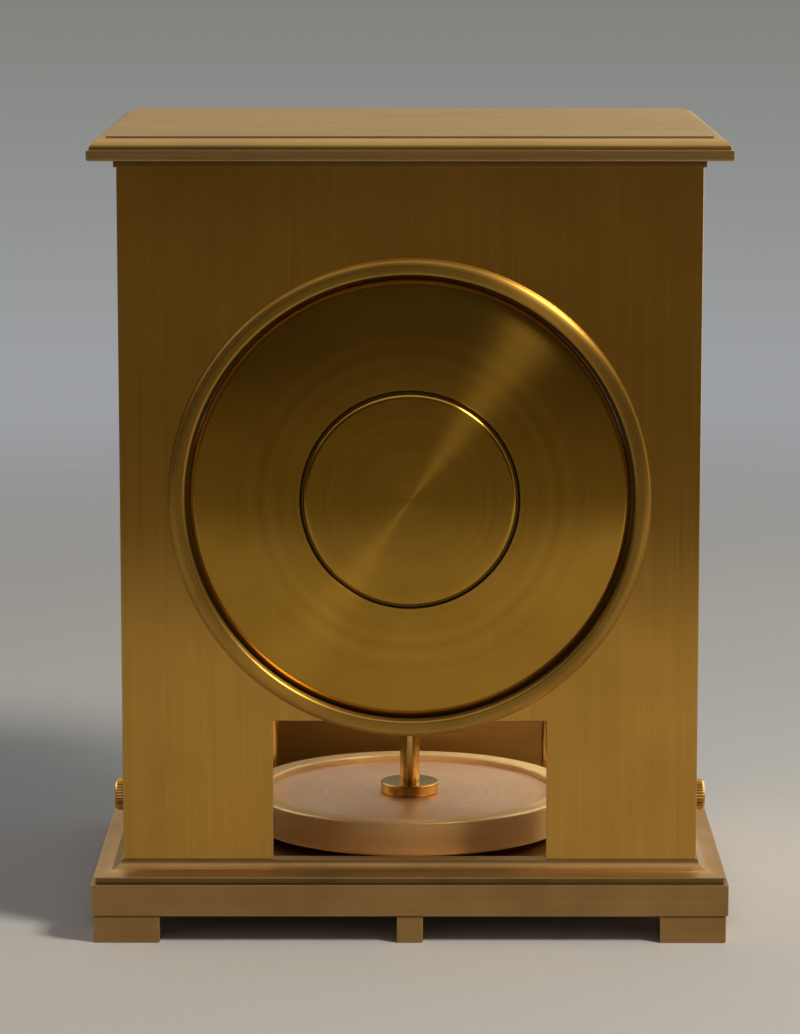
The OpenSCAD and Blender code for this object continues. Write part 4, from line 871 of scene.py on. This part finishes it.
dim = add(tree, "ShaderNodeMix", {"Factor": overhead, "A": wall, "B": colour("#f2efe9")},
          data_type="RGBA").outputs["Result"]
beside = add(tree, "ShaderNodeMapRange", {"Value": way["X"], "From Min": 0.0, "From Max": -0.25},
             interpolation_type="SMOOTHSTEP").outputs[0]
low_wall = add(tree, "ShaderNodeMix", {"Factor": beside, "A": colour("#6c685c"), "B": colour("#efe5d2")},
               data_type="RGBA").outputs["Result"]
window_light = add(tree, "ShaderNodeMapRange", {"Value": way["Z"], "From Min": 0.2, "From Max": 0.5},
                   interpolation_type="SMOOTHSTEP").outputs[0]
lit = add(tree, "ShaderNodeMix", {"Factor": window_light, "A": low_wall, "B": colour("#fbf8f2")},
          data_type="RGBA").outputs["Result"]
around = add(tree, "ShaderNodeMix", {"Factor": to_camera, "A": lit, "B": dim},
             data_type="RGBA").outputs["Result"]
sideways = add(tree, "ShaderNodeMath", {0: way["X"]}, operation="ABSOLUTE").outputs[0]
in_window = add(tree, "ShaderNodeMapRange", {"Value": sideways, "From Min": 0.35, "From Max": 0.6},
                interpolation_type="SMOOTHSTEP").outputs[0]
behind = add(tree, "ShaderNodeMapRange", {"Value": way["Y"], "From Min": 0.15, "From Max": -0.15},
             interpolation_type="SMOOTHSTEP").outputs[0]
daylight = add(tree, "ShaderNodeMath", {0: in_window, 1: behind}, operation="MULTIPLY").outputs[0]
strength = add(tree, "ShaderNodeMapRange", {"Value": daylight, "To Min": 1.0, "To Max": 3.0}).outputs[0]
seen = add(tree, "ShaderNodeBackground", {"Color": backdrop}).outputs[0]
mirrored = add(tree, "ShaderNodeBackground", {"Color": around, "Strength": strength}).outputs[0]
fill = add(tree, "ShaderNodeBackground", {"Color": colour("#b9bcc2"), "Strength": 0.4}).outputs[0]
ray = add(tree, "ShaderNodeLightPath").outputs
unmirrored = add(tree, "ShaderNodeMath", {0: ray["Glossy Depth"], 1: 1.0}, operation="LESS_THAN").outputs[0]
through = add(tree, "ShaderNodeMath", {0: ray["Is Transmission Ray"], 1: unmirrored}, operation="MULTIPLY")
direct = add(tree, "ShaderNodeMath", {0: ray["Is Camera Ray"], 1: through.outputs[0]},
             operation="MAXIMUM").outputs[0]
undimmed = add(tree, "ShaderNodeMath", {0: unmirrored, 1: ray["Is Diffuse Ray"]},
               operation="MAXIMUM").outputs[0]
mirror = add(tree, "ShaderNodeMath", {0: 1.0, 1: undimmed}, operation="SUBTRACT").outputs[0]
indirect = add(tree, "ShaderNodeMixShader", {0: mirror, 1: fill, 2: mirrored}).outputs[0]
shown = add(tree, "ShaderNodeMixShader", {0: direct, 1: indirect, 2: seen}).outputs[0]
add(tree, "ShaderNodeOutputWorld", {"Surface": shown})
print("room made")

# %% [markdown]
# ## The lamp
# One soft lamp stands to the upper right of the camera. Its height follows from the table's shadow, and its
# side from the bright spoke on the cover, which points 55 degrees above the horizontal.

# %% Key lamp
key_data = bpy.data.lights.new("key", "AREA")
key_data.shape = "DISK"
key_data.size = 0.4
key_data.energy = 18
LAMP_AWAY_M, LAMP_WAY = 1.5, Vector((-0.604, 0.381, 0.70))
key_data.color = colour("#fff6e6")[:3]
key = bpy.data.objects.new("key", key_data)
aim = Vector((0, 0.05, 0.12))
key.location = aim + LAMP_AWAY_M * LAMP_WAY
key.rotation_euler = (aim - key.location).to_track_quat("-Z", "Y").to_euler()
bpy.context.scene.collection.objects.link(key)
print("lamp at", [round(v, 2) for v in key.location])
